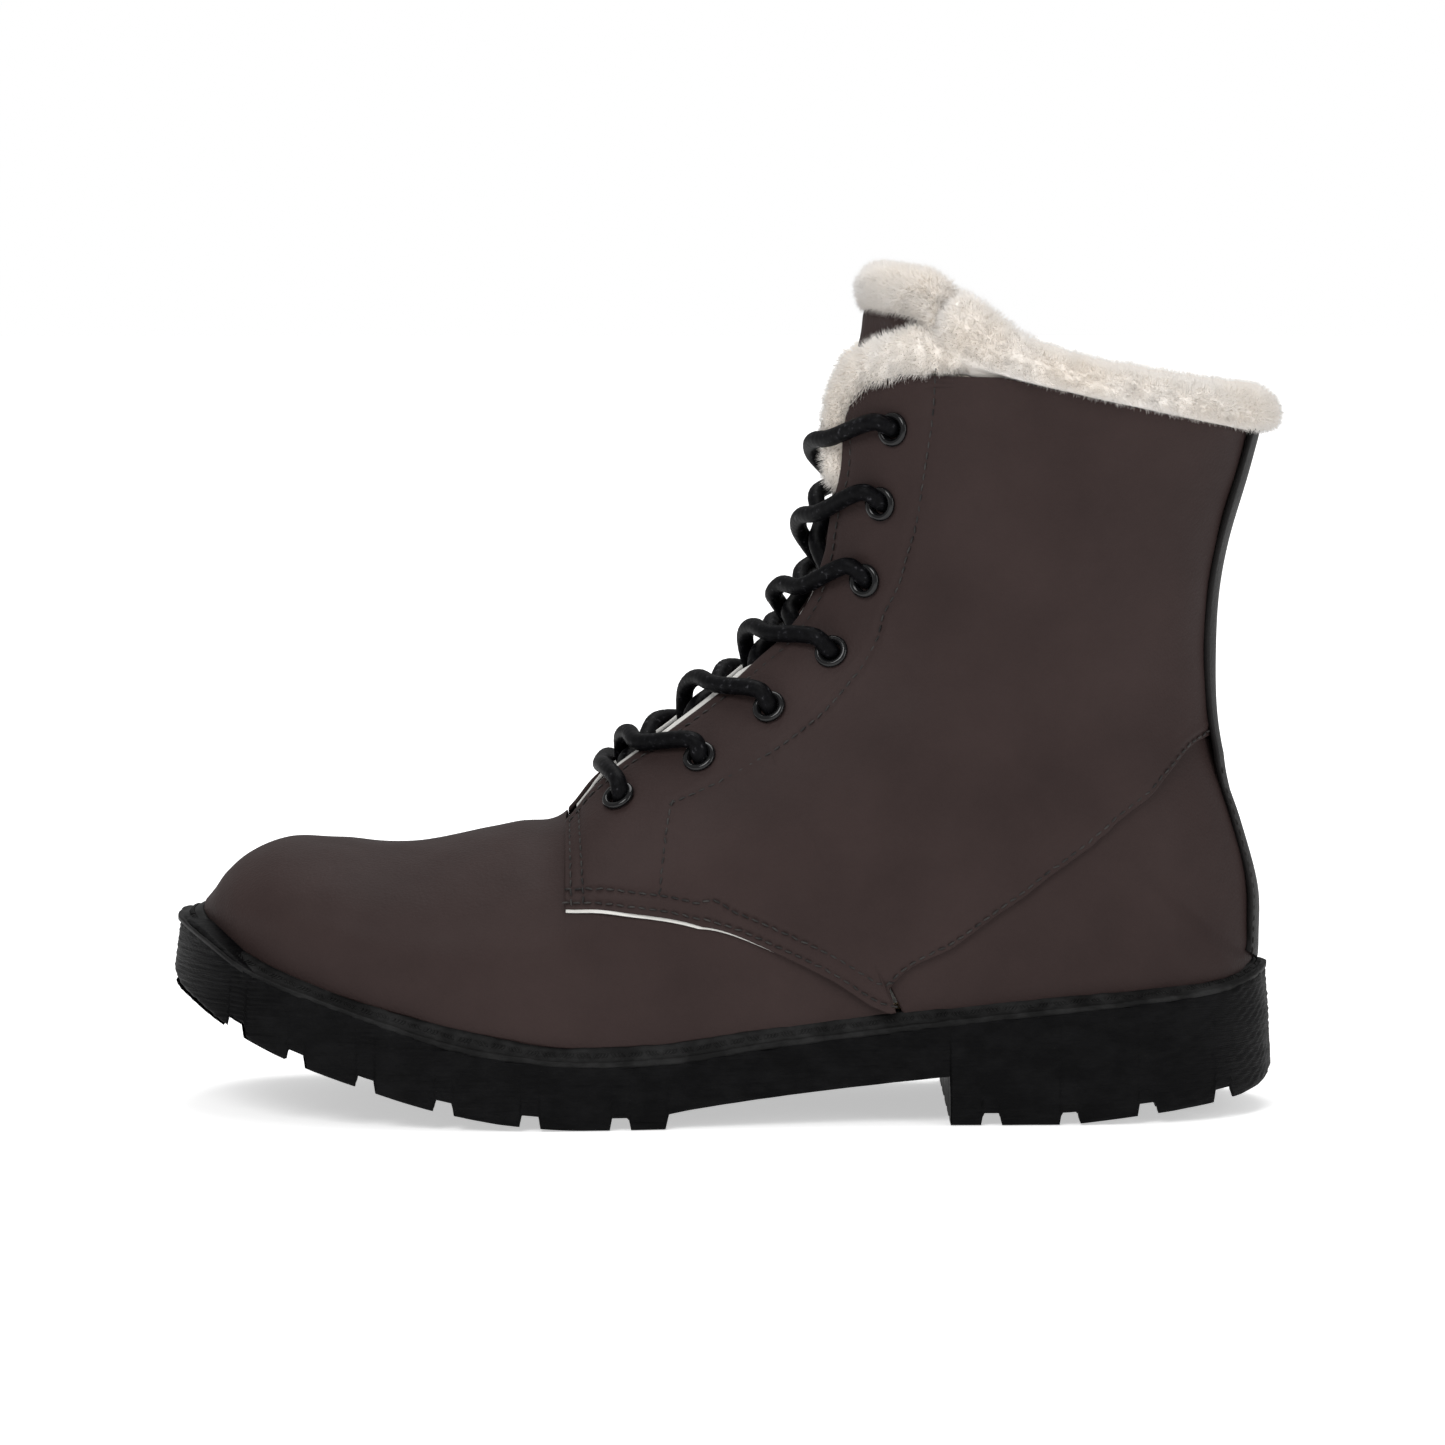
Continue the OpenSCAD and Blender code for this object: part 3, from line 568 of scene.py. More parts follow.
def shift_line(line, mm):
    """Line moved sideways over the surface by mm; to the left of its direction, seen from outside."""
    s, t = line[:, 0], line[:, 1]
    ds, dt = slopes(s, t)
    ahead = unit(np.gradient(at(s, t), axis=0))
    sideways = unit(np.cross(outward(s, t), ahead)) * mm
    gram = np.stack([np.stack([(ds * ds).sum(-1), (ds * dt).sum(-1)], -1),
                     np.stack([(ds * dt).sum(-1), (dt * dt).sum(-1)], -1)], -2)
    rhs = np.stack([(ds * sideways).sum(-1), (dt * sideways).sum(-1)], -1)
    moved = line + np.linalg.solve(gram, rhs[..., None])[..., 0]
    for _ in range(12):
        moved[1:-1] = 0.5 * moved[1:-1] + 0.25 * (moved[:-2] + moved[2:])
    return moved


def stitch_points(line, depth, pitch):
    """Points and directions of stitches spaced by pitch along a line of places."""
    fine = np.stack([np.interp(np.linspace(0, 1, 900), np.linspace(0, 1, len(line)), line[:, k])
                     for k in (0, 1)], axis=1)
    p = at(fine[:, 0], fine[:, 1], depth)
    both = resample(np.concatenate([p, fine], axis=1)[:, :3], pitch)
    travelled = way(p)
    wanted = np.linspace(0, travelled[-1], len(both))
    places = np.stack([np.interp(wanted, travelled, fine[:, k]) for k in (0, 1)], axis=1)
    return both, unit(np.gradient(both, axis=0)), outward(places[:, 0], places[:, 1])


def stitches(name, lines, mat, body, slot, pitch=2.9, length=2.1, radius=0.27, jitter=0.12, seed=5):
    """Short thread capsules laid along lines of (places, depth)."""
    rng = np.random.default_rng(seed)
    around, rings = 6, [(-1, .25), (-.8, .8), (-.3, 1), (.3, 1), (.8, .8), (1, .25)]
    verts, faces = [], []
    for line, depth in lines:
        p, ahead, up = stitch_points(line, depth, pitch)
        across = np.cross(up, ahead)
        for q, a, u, c in zip(p, ahead, up, across):
            a = unit(a + c * rng.normal(0, jitter))
            c = np.cross(u, a)
            start = len(verts)
            for along, r in rings:
                sag = u * (0.12 - 0.25 * along * along)
                verts.extend(circle(q + a * along * length / 2 + sag, radius * r, c, u, around))
            faces += tube_faces(len(rings), around, start)
    return put(mesh_object(name, verts, faces, mat), body, slot)


def seam_lines(side):
    """Stitch lines of one side as (places, offset sideways)."""
    turn = -side
    stay = [[11.4, .284], [11.8, .292], [12.4, .30], [13, .302], [13.8, .30], [15.2, .285], [17, .276],
            [19.1, .277], [21.3, .309], [23.3, .336], [24.9, .333], [26.35, .312]]
    f = np.linspace(0, 1, 40)
    down = np.stack([11.4 - 0.46 * f ** 0.8, side * (0.284 + 0.13 * f)], axis=1)
    front = np.stack([np.full(60, THROAT), side * np.linspace(0.13, 0.345, 60)], axis=1)
    lower = follow(quarter_edge, side, THROAT, 12.86)
    heel = follow(quarter_edge, side, 12.95, 22.4, 220)
    facing = follow(facing_edge, side, THROAT + 0.1, 24.6, 260)
    return {
        "stay": follow(smooth_table(stay), side, 11.4, 26.35, 260),
        "down": down,
        "front": shift_line(front, turn * 1.8),
        "front_inner": shift_line(front, turn * 5.2),
        "lower": shift_line(lower, turn * 1.8),
        "lower_inner": shift_line(lower, turn * 5.6),
        "heel": shift_line(heel, turn * 1.6),
        "facing": shift_line(facing, -turn * 3.4)}


# ---- leather upper ----

def relief(points, lines, side):
    """Height lost at stitch grooves plus the slow unevenness of pulled leather, in mm."""
    low = 0.28 * ripple(points, 46, 11 + side) + 0.12 * ripple(points, 17, 23 + side)
    if lines is None:
        return low
    gap = nearest(points, lines)
    return low + 0.42 * np.exp(-(gap / 0.75) ** 2) - 0.18 * np.exp(-((gap - 2.0) / 0.9) ** 2)


def press_at_eyelets(points, side):
    """Recess through the leather inside each eyelet."""
    drop = np.zeros(points.shape[:-1])
    for s, t in EYELETS:
        gap = np.linalg.norm(points - at(s, side * t, -LEATHER), axis=-1)
        drop += 1.5 * np.clip((3.1 - gap) / 0.5, 0, 1) + 0.25 * np.exp(-((gap - 4.6) / 1.2) ** 2)
    return drop


def leather_panel(name, s, t, near, far, mat, side, lines, radii, holes=False):
    base = at(s, t, near)
    drop = relief(base, lines, side)
    if holes:
        drop = drop + press_at_eyelets(base, side)
    drop = np.minimum(drop + rounding(base, 1, radii), far - near - 0.08)
    return sheet_object(name, at(s, t, near + drop), at(s, t, far), mat)


def build_quarters():
    for side, word in SIDES:
        lines = seam_lines(side)
        surface = [at(line[:, 0], line[:, 1], -LEATHER) for line in lines.values()]
        rows = np.union1d(edge_rows(THROAT, COLLAR, 170), [12.84, 12.88, 12.9, 12.92, 12.96])
        s, t = strip_places(rows, facing_edge, lambda v: np.minimum(quarter_edge(v), 1), 92, side)
        seam = np.where(rows < WAIST, 0.75, 1.5)[:, None]
        radii = (0.8, 0.8, 0.7, seam) if side > 0 else (0.8, 0.8, seam, 0.7)
        near, far = np.full(s.shape, -LEATHER), np.full(s.shape, -0.1)
        panel = leather_panel("quarter_panel_" + word, s, t, near, far, BROWN, side,
                              np.concatenate(surface), radii, holes=True)
        put(panel, "boot", "leather", "quarter_" + word)
        threads = [(line, -LEATHER + 0.16) for line in lines.values()]
        stitches("quarter_stitching_" + word, threads, THREAD, "boot", "lace_cord", seed=31 + side)

        # The pale strip along the quarter's lower front edge is a painted rim highlight on the cut edge,
        # coloured with the white felt.
        rows = edge_rows(THROAT + 0.02, 12.45, 60, rim=(0, .3, .8))
        taper = lambda v: quarter_edge(v) + 0.0065 * np.clip((12.4 - v) / 0.8, 0, 1)
        s, t = strip_places(rows, lambda v: quarter_edge(v) - 0.012, taper, 5, side)
        base = at(s, t, -1.0)
        layer("quarter_edge_painted_highlight_" + word, s, t, -1.0 + rounding(base, 0.3), -0.12, FELT_CLOTH, "felt")


def build_heel_panels():
    for side, word in SIDES:
        rows = edge_rows(WAIST + 0.05, 22.6, 110)
        hem = lambda v: 1 + 0.08 * np.clip((17.5 - v) / 0.8, 0, 1)
        s, t = strip_places(rows, lambda v: np.minimum(quarter_edge(v), 1) - 0.05, hem, 46, side)
        near, far = np.zeros(s.shape), np.full(s.shape, LEATHER)
        panel = leather_panel("heel_leather_" + word, s, t, near, far, BROWN, side, None, (.5, .5, .3, .3))
        put(panel, "boot", "leather", "heel_panel_" + word)


def build_vamp():
    rows = np.concatenate([edge_rows(0, THROAT, 120), np.linspace(9.25, WAIST, 44)])
    inner = np.where(rows <= THROAT + 1e-6, 0.3, quarter_edge(rows) - 0.05)[:, None]
    outer_f, inner_f = np.linspace(0, 1, 45)[None, :], np.linspace(0, 1, 32)[None, 1:]
    half = np.concatenate([1.09 + (inner - 1.09) * outer_f, inner * (1 - inner_f)], axis=1)
    t = np.concatenate([-half, half[:, ::-1][:, 1:]], axis=1)
    s = section_grid(rows, t)
    base = at(s, t, 0)
    drop = 0.25 * ripple(base, 44, 41) + 0.1 * ripple(base, 15, 42)
    flex = 0.32 * np.sin(base[..., 0] / 2.6 + 0.6 * ripple(base, 30, 43)) * np.exp(
        -((base[..., 0] + 50) / 9) ** 2) * np.exp(-((base[..., 2] - 74) / 13) ** 2)
    near, far = at(s, t, drop + 0.5 * flex), at(s, t, LEATHER)
    nose_near, nose_far = [], []
    for share in (0.03, 0.45, 0.8):
        for grid, out in ((near, nose_near), (far, nose_far)):
            centre = grid[0].mean(axis=0)
            out.append(centre + (grid[0] - centre) * share - np.array([0.7 * (1 - share), 0, 0]))
    near = np.concatenate([np.array(nose_near), near])
    far = np.concatenate([np.array(nose_far), far])
    throat = int(np.argmin(np.abs(rows - THROAT))) + 3
    wings = 44
    last = t.shape[1] - 1
    vamp = sheet_object("vamp_leather", near, far, BROWN,
                        lambda i, j: i < throat or j < wings or j >= last - wings)
    put(vamp, "boot", "leather", "vamp")


def build_backstay():
    rows = edge_rows(HEEL_BACK + 0.1, 26.6, 120, where=1)
    f = edge_fractions(np.full(len(rows), 26.0), 22)
    q = 0.9 + 0.2 * f
    t = np.where(q <= 1, q, q - 2)
    s = section_grid(rows, t)
    lift = np.clip((s - 21.5) / 0.6, 0, 1)
    far = -0.1 - LEATHER * lift
    near = far - 1.35
    base = at(s, t, near)
    near = near + rounding(base, 0.9) + 0.2 * ripple(base, 30, 51)
    layer("backstay_strip", s, t, near, far, BLACK_LEATHER, "backstay_leather", "backstay")
    lines = []
    for side in (LATERAL, MEDIAL):
        v = np.linspace(HEEL_BACK + 0.3, 26.5, 200)
        for part in (v[v < 21.8], v[v >= 21.8]):
            depth = -1.4 if part[0] < 21.8 else -1.4 - LEATHER * 0.6
            lines.append((np.stack([part, np.full(len(part), side * 0.916)], axis=1), depth))
    stitches("backstay_stitching", lines, THREAD, "boot", "lace_cord", seed=61)


def build_facing_linings():
    for side, word in SIDES:
        rows = edge_rows(9.4, 26, 110)
        shown = lambda v: 0.008 + 0.03 * np.clip((v - 9.8) / 0.7, 0, 1) * np.clip((13.6 - v) / 0.6, 0, 1)
        s, t = strip_places(rows, lambda v: facing_edge(v) - shown(v), stay_edge, 26, side)
        lip = np.clip((facing_edge(s) + 0.012 - np.abs(t)) / 0.03, 0, 1)
        near, far = 1.1 - 1.2 * lip, FACING_BACK - 1.1 * lip
        base = at(s, t, near)
        near = near + rounding(base, 0.35) + 0.1 * ripple(base, 6, 71)
        layer("facing_backing_" + word, s, t, near, far + 0.1, FELT_CLOTH, "felt", "facing_lining_" + word)


build_quarters()
build_heel_panels()
build_vamp()
build_backstay()
build_facing_linings()


# ---- sole ----

def foot_outline():
    s = np.concatenate([np.linspace(0, 1.5, 40)[:-1], np.linspace(1.5, 15, 150)[:-1],
                        np.linspace(15, HEEL_BACK, 70)])
    r = station(s)
    x, half, middle = r[:, 2], r[:, 6], r[:, 7]
    medial = np.stack([x, middle + half], axis=1)
    lateral = np.stack([x, middle - half], axis=1)[::-1]
    nose_y = np.linspace(middle[0] - half[0], middle[0] + half[0], 11)[1:-1]
    nose = np.stack([np.full(9, x[0]), nose_y], axis=1)
    outline = np.concatenate([nose, medial, lateral[1:]])
    return resample(np.vstack([outline, outline[:1]]), 1.25)[:-1]


OUTLINE = foot_outline()
for _ in range(6):
    OUTLINE = 0.5 * OUTLINE + 0.25 * (np.roll(OUTLINE, 1, 0) + np.roll(OUTLINE, -1, 0))
TANGENT = unit(np.roll(OUTLINE, -3, 0) - np.roll(OUTLINE, 3, 0))
NORMAL = np.stack([-TANGENT[:, 1], TANGENT[:, 0]], axis=1)


def grown(margin):
    """Outline moved outward by a margin for each of its points."""
    return OUTLINE + NORMAL * np.asarray(margin)[:, None]


def side_chains(loop):
    """Lateral and medial y of a closed outline as functions of x."""
    low, high = np.argmin(loop[:, 0]), np.argmax(loop[:, 0])
    rolled = np.roll(loop, -low, axis=0)
    turn = (high - low) % len(loop)
    first, second = rolled[:turn + 1], np.vstack([rolled[turn:], rolled[:1]])[::-1]
    chains = []
    for chain in (first, second):
        x = np.maximum.accumulate(chain[:, 0]) + np.arange(len(chain)) * 1e-7
        chains.append((x, chain[:, 1]))
    chains.sort(key=lambda c: c[1].mean())
    return [lambda v, c=c: np.interp(v, c[0], c[1]) for c in chains]


def tread_height(x):
    """Underside of the sole, without the notches."""
    x = np.asarray(x, float)
    f = np.clip((x + 14) / 76, 0, 1)
    arch = 3.7 + 9.3 * f ** 0.8
    heel = heel_curve(x)
    front = toe_curve(x)
    step = np.clip((x + 14) / 0.8, 0, 1)
    return np.where(x >= 62, heel, np.where(x > -14, front * (1 - step) + arch * step, front))


def notch_depth(x):
    depth = np.zeros_like(x)
    for centre in FOREFOOT_NOTCHES + HEEL_NOTCHES:
        gap = np.abs(x - centre)
        depth = np.maximum(depth, 3.2 * np.clip((2.75 - gap) / 0.5, 0, 1))
    return depth


def build_outsole():
    fine = resample(np.vstack([OUTLINE, OUTLINE[:1]]), 0.55)[:-1]
    ahead = unit(np.roll(fine, -7, 0) - np.roll(fine, 7, 0))
    out = np.stack([-ahead[:, 1], ahead[:, 0]], axis=1)
    margin = sole_margin(fine[:, 0])
    x = (fine + out * margin[:, None])[:, 0]
    bottom = tread_height(x) + notch_depth(x)
    top = np.maximum(sole_top(x), bottom + 2)
    grid, striation_pitch = [], 1.35
    for f in np.linspace(0, 1, 36):
        z = bottom + (top - bottom) * f
        share = np.clip((z - 3) / np.maximum(top - 3, 4), 0, 1)
        corner = np.clip(1 - (top - z) / 1.6, 0, 1)
        foot = np.clip(1 - (z - bottom) / 0.9, 0, 1)
        inset = lean_at(x) * share ** 1.5 + 0.9 * corner ** 2.5 + 0.45 * foot ** 2
        p = np.column_stack([fine + out * (margin - inset)[:, None], z])
        wave = np.sin(z * 2 * math.pi / striation_pitch + 1.6 * ripple(p, 42, 81) + 0.7 * ripple(p, 12, 82))
        fine_lines = ripple(p * np.array([0.03, 0.03, 1]), 0.9, 84)
        lines = 0.17 * wave * (0.6 + 0.4 * ripple(p, 25, 83)) + 0.1 * fine_lines
        rough = 0.3 * ripple(p, 5, 85) * np.clip(1 - np.abs(top - z - 1.2) / 2.2, 0, 1)
        p[:, :2] += out * (lines + rough - 0.25)[:, None]
        grid.append(p)
    for inward in (0.8, 7.0):
        grid.append(np.column_stack([fine + out * (margin - lean_at(x) - 0.9 - inward)[:, None], top]))
    ring = np.stack(grid, axis=1)
    m, n = ring.shape[:2]
    verts = [ring.reshape(-1, 3)]
    faces = grid_faces(m, n, flip=True, closed=True)

    edge = ring[:, 0, :2]
    low, high = edge[:, 0].min(), edge[:, 0].max()
    sections = [low + 0.02 + (high - low - 0.04) * (0.5 - 0.5 * np.cos(math.pi * np.linspace(0, 1, 300)))]
    notch_sides = (-2.8, -2.25, 0, 2.25, 2.8)
    sections.append(np.array([c + k for c in FOREFOOT_NOTCHES + HEEL_NOTCHES for k in notch_sides]))
    sections.append(np.array([-14.1, -13.9, -13.1, 61.6, 61.95, 62.05, 62.4]))
    x = np.unique(np.round(np.concatenate(sections), 3))
    lateral, medial = side_chains(edge)
    yl, ym = lateral(x), medial(x)
    y = (yl + ym)[:, None] / 2 + (ym - yl)[:, None] / 2 * np.linspace(-1, 1, 40)[None, :]
    z = tread_height(x) + notch_depth(x)
    inside = np.clip((np.minimum(y - yl[:, None], ym[:, None] - y) - 5) / 2, 0, 1)
    grooves = 1.1 * inside * np.clip(3 * np.sin(y / 2.9 + 0.6 * np.sin(x / 9)[:, None]) - 1.6, 0, 1)
    under = np.stack([np.repeat(x[:, None], y.shape[1], 1), y, z[:, None] + grooves], axis=-1)
    faces += grid_faces(*under.shape[:2], start=m * n)
    verts.append(under.reshape(-1, 3))
    put(mesh_object("sole_unit", np.concatenate(verts), faces, RUBBER), "boot", "rubber", "outsole")


def lean_at(x):
    return np.interp(x, [-153, -146, -125, 0, 120, 146, 153], [5, 4.2, 1.8, 0.8, 0.8, 1.2, 2.2])


def build_welt():
    x = OUTLINE[:, 0]
    margin = sole_margin(x) - lean_at(x) - 0.6
    edge_x = grown(margin)[:, 0]
    low, high = sole_top(edge_x), welt_top(x)
    profile = [(1, 0, -0.6), (1, 0, 0.1), (1, 0.02, 0.55), (0.93, 0.16, 0.5), (0.85, 0.2, 0.05),
               (0.72, 0.3, -0.05), (0.55, 0.5, 0), (0.4, 0.66, 0), (0.26, 0.82, 0.1), (0.14, 0.95, 0.2),
               (0.03, 1.0, 0.1), (0.03, 0.1, -0.6)]
    rings = []
    for share, rise, lift in profile:
        p = grown(margin * share + 0.05)
        rings.append(np.column_stack([p, low + (high - low) * rise + lift]))
    ring = np.stack(rings, axis=1)
    ring[:, 1:11] += 0.12 * ripple(ring[:, 1:11], 7, 91)[..., None] * np.array([0, 0, 1])
    m, n = ring.shape[:2]
    closed = np.concatenate([ring, ring[:1]])
    faces = grid_faces(m, n, loop=True, flip=True, closed=True)
    put(mesh_object("welt_band", ring, faces, WELT_RUBBER), "boot", "rubber", "welt")

    middle = closed[:, 6] * 0.5 + closed[:, 7] * 0.5
    slope = closed[:, 8] - closed[:, 5]
    both = resample(np.concatenate([middle, slope], axis=1), 0.92)
    line = resample(middle, 0.92)
    n = min(len(both), len(line))
    pick = np.round(np.linspace(0, len(middle) - 1, n)).astype(int)
    ahead = unit(np.gradient(line[:n], axis=0))
    rise = unit(slope[pick])
    up = unit(np.cross(rise, ahead))
    up *= np.sign(up[:, 2:3])
    verts, faces = [], []
    half_length, radius, sunk = 0.85, 0.3, 0.3
    rings = ((-1, .3), (-.6, .9), (0, 1), (.6, .9), (1, .3))
    for k in range(n):
        if k % 5 == 4:
            continue
        tilt = unit(rise[k] * 0.85 + ahead[k] * (0.5 if (k // 5) % 2 else -0.5))
        wide = np.cross(up[k], tilt)
        start = len(verts)
        for along, r in rings:
            centre = line[k] + tilt * along * half_length + sunk * radius * r * up[k]
            verts.extend(circle(centre, radius * r, wide, up[k], 6))
        faces += tube_faces(len(rings), 6, start)
    put(mesh_object("welt_moulded_stitches", verts, faces, WELT_RUBBER), "boot", "rubber")


build_outsole()
build_welt()


# ---- eyelets, lace and keeper ----

def tube(path, radius, around):
    """Grid of rings round a path; radius(along, angle) in mm. Angles turn with the path."""
    path = np.asarray(path, float)
    ahead = unit(np.gradient(path, axis=0))
    u = unit(np.cross(ahead[0], (0, 1, 0)))
    frames = [u]
    for k in range(1, len(path)):
        u = unit(u - ahead[k] * (u @ ahead[k]))
        frames.append(u)
    u = np.array(frames)
    v = np.cross(ahead, u)
    along = way(path)
    w = np.linspace(0, 2 * math.pi, around, endpoint=False)
    r = radius(along[:, None], w[None, :])[..., None]
    return path[:, None] + r * (u[:, None] * np.cos(w)[None, :, None] + v[:, None] * np.sin(w)[None, :, None])


def closed_tube(name, grid, mat, flip=False):
    m, n = grid.shape[:2]
    return mesh_object(name, grid, tube_faces(m, n, flip=flip), mat)


def strand(i, side, over):
    """Route from inside one eyelet to inside the next one up on the other side, past its outer face."""
    (s0, t0), (s1, t1), c = EYELETS[i], EYELETS[i + 1], CROSSINGS[i]
    start, end = EDGE_EXITS[i], EDGE_PASSES[i][0 if side > 0 else 1]
    return [at(s0, side * t0, LACE_INSIDE),
            at(start, side * 0.13, LACE_INSIDE),
            at(c + (start - c) * 0.45, side * 0.05, -3 if over else 2.8),
            at(c, side * 0.005, -4.2 if over else 2.3),
            at(c + (end - c) * 0.45, -side * 0.05, -4.5 if over else 2),
            at(end, -side * 0.12, -LEATHER - LACE_R - 0.2)] + enter(s1, -side * t1)


def enter(s, t):
    """Route over an eyelet's rim and down its bore."""
    return [at(s, t * 0.92, -LEATHER - LACE_R - 0.6), at(s, t * 0.99, -LEATHER - 0.6), at(s, t, 1.2)]


def lace_half(side):
    points = [at(10.35, side * 0.12, -LEATHER - LACE_R - 0.2)] + enter(EYELETS[0][0], side * EYELETS[0][1])
    for i in range(len(CROSSINGS)):
        points += strand(i, side * (1 if i % 2 == 0 else -1), (side > 0) == (i % 2 == 0))
    points.append(at(24.75, side * 0.285, LACE_INSIDE - 0.5))
    return points + [at(s, side * 0.295, LACE_INSIDE) for s in (23.8, 22, 20, 17, 14.5)]


def braid(radius, carriers=9, pitch=9.5, depth=0.17):
    """Radius of a round braid: two families of ribs crossing each other."""
    def at_place(along, angle):
        turn = 2 * math.pi * along / pitch
        a = np.cos(carriers * (angle + turn / carriers))
        b = np.cos(carriers * (angle - turn / carriers))
        over = np.cos(carriers * angle) * np.cos(turn) > 0
        ribs = np.where(over, np.abs(a) ** 0.7, np.abs(b) ** 0.7)
        return radius * (1 - depth * 0.55) + depth * ribs
    return at_place


def build_lacing():
    for side, word in SIDES:
        profile = [(2.56, -2.9), (3.08, -2.9), (3.08, 1.6), (4.2, 1.55), (4.5, 1.7), (4.62, 2.1), (4.5, 2.55),
                   (4.15, 2.85), (3.7, 2.98), (3.25, 2.9), (2.85, 2.65), (2.62, 2.25), (2.56, 1.7)]
        around, verts, faces = 64, [], []
        for s, t in EYELETS:
            n = outward(s, side * t)
            u = unit(np.cross(n, [0, 0, 1]))
            v = np.cross(n, u)
            start = len(verts)
            for r, h in profile:
                verts.extend(circle(at(s, side * t) + n * h, r, u, v, around))
            faces += grid_faces(len(profile), around, start, loop=True, closed=True)
        put(mesh_object("eyelet_rings_" + word, verts, faces, ENAMEL),
            "boot", "eyelet_metal", "eyelets_" + word)

    lateral, medial = lace_half(LATERAL), lace_half(MEDIAL)
    route = lateral[::-1] + [at(10.2, 0, -1.6)] + medial
    path = spline(route, 0.5)
    lace = closed_tube("braided_lace", tube(path, braid(LACE_R), 36), BRAID, flip=True)
    put(lace, "boot", "lace_cord", "lace")
    for half, word in ((lateral, "lateral"), (medial, "medial")):
        u = unit(half[-1] - half[-2])
        stops = [(0.1, 1.9), (0.2, 2.08), (2, 2.1), (2.2, 2.0), (2.6, 2.0), (2.8, 2.1), (20.6, 2.08),
                 (21.6, 1.9), (22, 1.5)]
        line = np.array([half[-1] + u * k for k, _ in stops])
        radii = np.array([r for _, r in stops])
        grid = tube(line, lambda along, angle: np.repeat(radii[:, None], 24, 1), 24)
        put(closed_tube("aglet_tip_" + word, grid, TIP_PLASTIC, flip=True),
            "boot", "aglet_plastic", "aglet_" + word)


build_lacing()


# ---- tongue and linings ----

def tongue_dip(t):
    f = np.minimum(np.abs(t) / 0.115, 1)
    return 5.2 * f * f * (3 - 2 * f)


def tongue_depth(s, t, share=1.0):
    return (np.interp(s, *np.array(TONGUE_MIDDLE).T)
            + share * tongue_dip(t) * np.interp(s, [25.3, 27.2], [1, 0.3]))


def tongue_grid(first, last, n, inset=0.0):
    rows = np.linspace(first, last, n)
    f = np.sin(np.linspace(-1, 1, 61) * math.pi / 2)
    t = (tongue_edge(rows)[:, None] - inset) * f[None, :]
    return np.repeat(rows[:, None], t.shape[1], axis=1), t


def build_tongue():
    s, t = tongue_grid(8.82, 27.4, 190)
    near = tongue_depth(s, t)
    base = at(s, t, near)
    near = near + rounding(base, 0.5) + 0.16 * ripple(base, 24, 101) + 0.1 * ripple(base, 9, 102)
    far = tongue_depth(s, t) + 1.2
    layer("tongue_face", s, t, near, far, BROWN, "leather", "tongue_leather", body="tongue")

    rows = np.linspace(12.57, 13.18, 26)
    f = np.linspace(-1, 1, 15)
    s = np.repeat(rows[:, None], len(f), axis=1)
    t = np.repeat(0.03 * f[None, :], len(rows), axis=0)
    base = at(s, t, 0)
    far = tongue_depth(s, t) - 0.02
    near = far - 0.85 + rounding(base, 0.4)
    near = near - 0.5 * np.exp(-((s - 13.1) / 0.05) ** 2)
    layer("keeper_strap", s, t, near, far, BLACK_LEATHER, "backstay_leather", "lace_keeper", body="tongue")


def pile(points, seed, height=1.0):
    """Lumps of brushed plush, in mm."""
    return height * (0.55 * ripple(points, 13, seed) + 0.3 * ripple(points, 5.5, seed + 1)
                     + 0.18 * ripple(points, 2.6, seed + 2))


def build_linings():
    for side, word in SIDES:
        s, t = strip_places(np.linspace(8.75, 26.3, 120), lambda v: 0.345 + 0 * v,
                            lambda v: np.interp(v, [15, 18], [0.985, 1]), 90, side)
        lumps = np.minimum(pile(at(s, t, LINING + PLUSH), 111 + side), 0.9)
        far = LINING + PLUSH + lumps - rounding(at(s, t, 8), 1.2)
        layer("plush_lining_" + word, s, t, LINING, far, PLUSH_PILE, "plush", "quarter_lining_" + word)
    rows = np.concatenate([np.linspace(1, 5, 40), np.linspace(5.1, 8.6, 50)])
    t = np.linspace(-1, 1, 150)[None, :] + 0 * rows[:, None]
    s = section_grid(rows, t)
    far = LINING + PLUSH + np.minimum(pile(at(s, t, LINING + PLUSH), 121), 0.9)
    layer("vamp_plush_lining", s, t, LINING, far, PLUSH_PILE, "plush", "vamp_lining")


def build_footbed():
    outline = grown(np.full(len(OUTLINE), -10.2))
    keep = (outline[:, 0] > -128) & (outline[:, 0] < 134)
    centre = outline[keep].mean(axis=0)
    loop = resample(np.vstack([outline[keep], outline[keep][:1]]), 2.2)[:-1]
    rings = []
    for share in (0.02, 0.15, 0.3, 0.45, 0.6, 0.75, 0.86, 0.94, 0.98, 1.0):
        rings.append((share, 1.0))
    rings += [(1.0, 0.75), (1.0, 0.3), (0.995, 0.0), (0.02, 0.0)]
    grid = []
    for share, rise in rings:
        p = centre + (loop - centre) * share
        z = welt_top(p[:, 0]) + 1.8 + 5 * rise
        q = np.column_stack([p, z])
        if rise == 1.0:
            q[:, 2] += pile(q, 131, 0.8) - 1.4 * max(0, (share - 0.9) * 10) ** 2
        grid.append(q)
    grid = np.array(grid)
    put(closed_tube("plush_footbed", grid, PLUSH_PILE), "boot", "plush", "footbed")


build_tongue()
build_linings()
build_footbed()


# ---- fur ----

HAIR_LENGTH, HAIR_RADIUS, HAIR_LEAN, HAIR_CLUMP = 3.3, 0.13, 0.3, 6.0


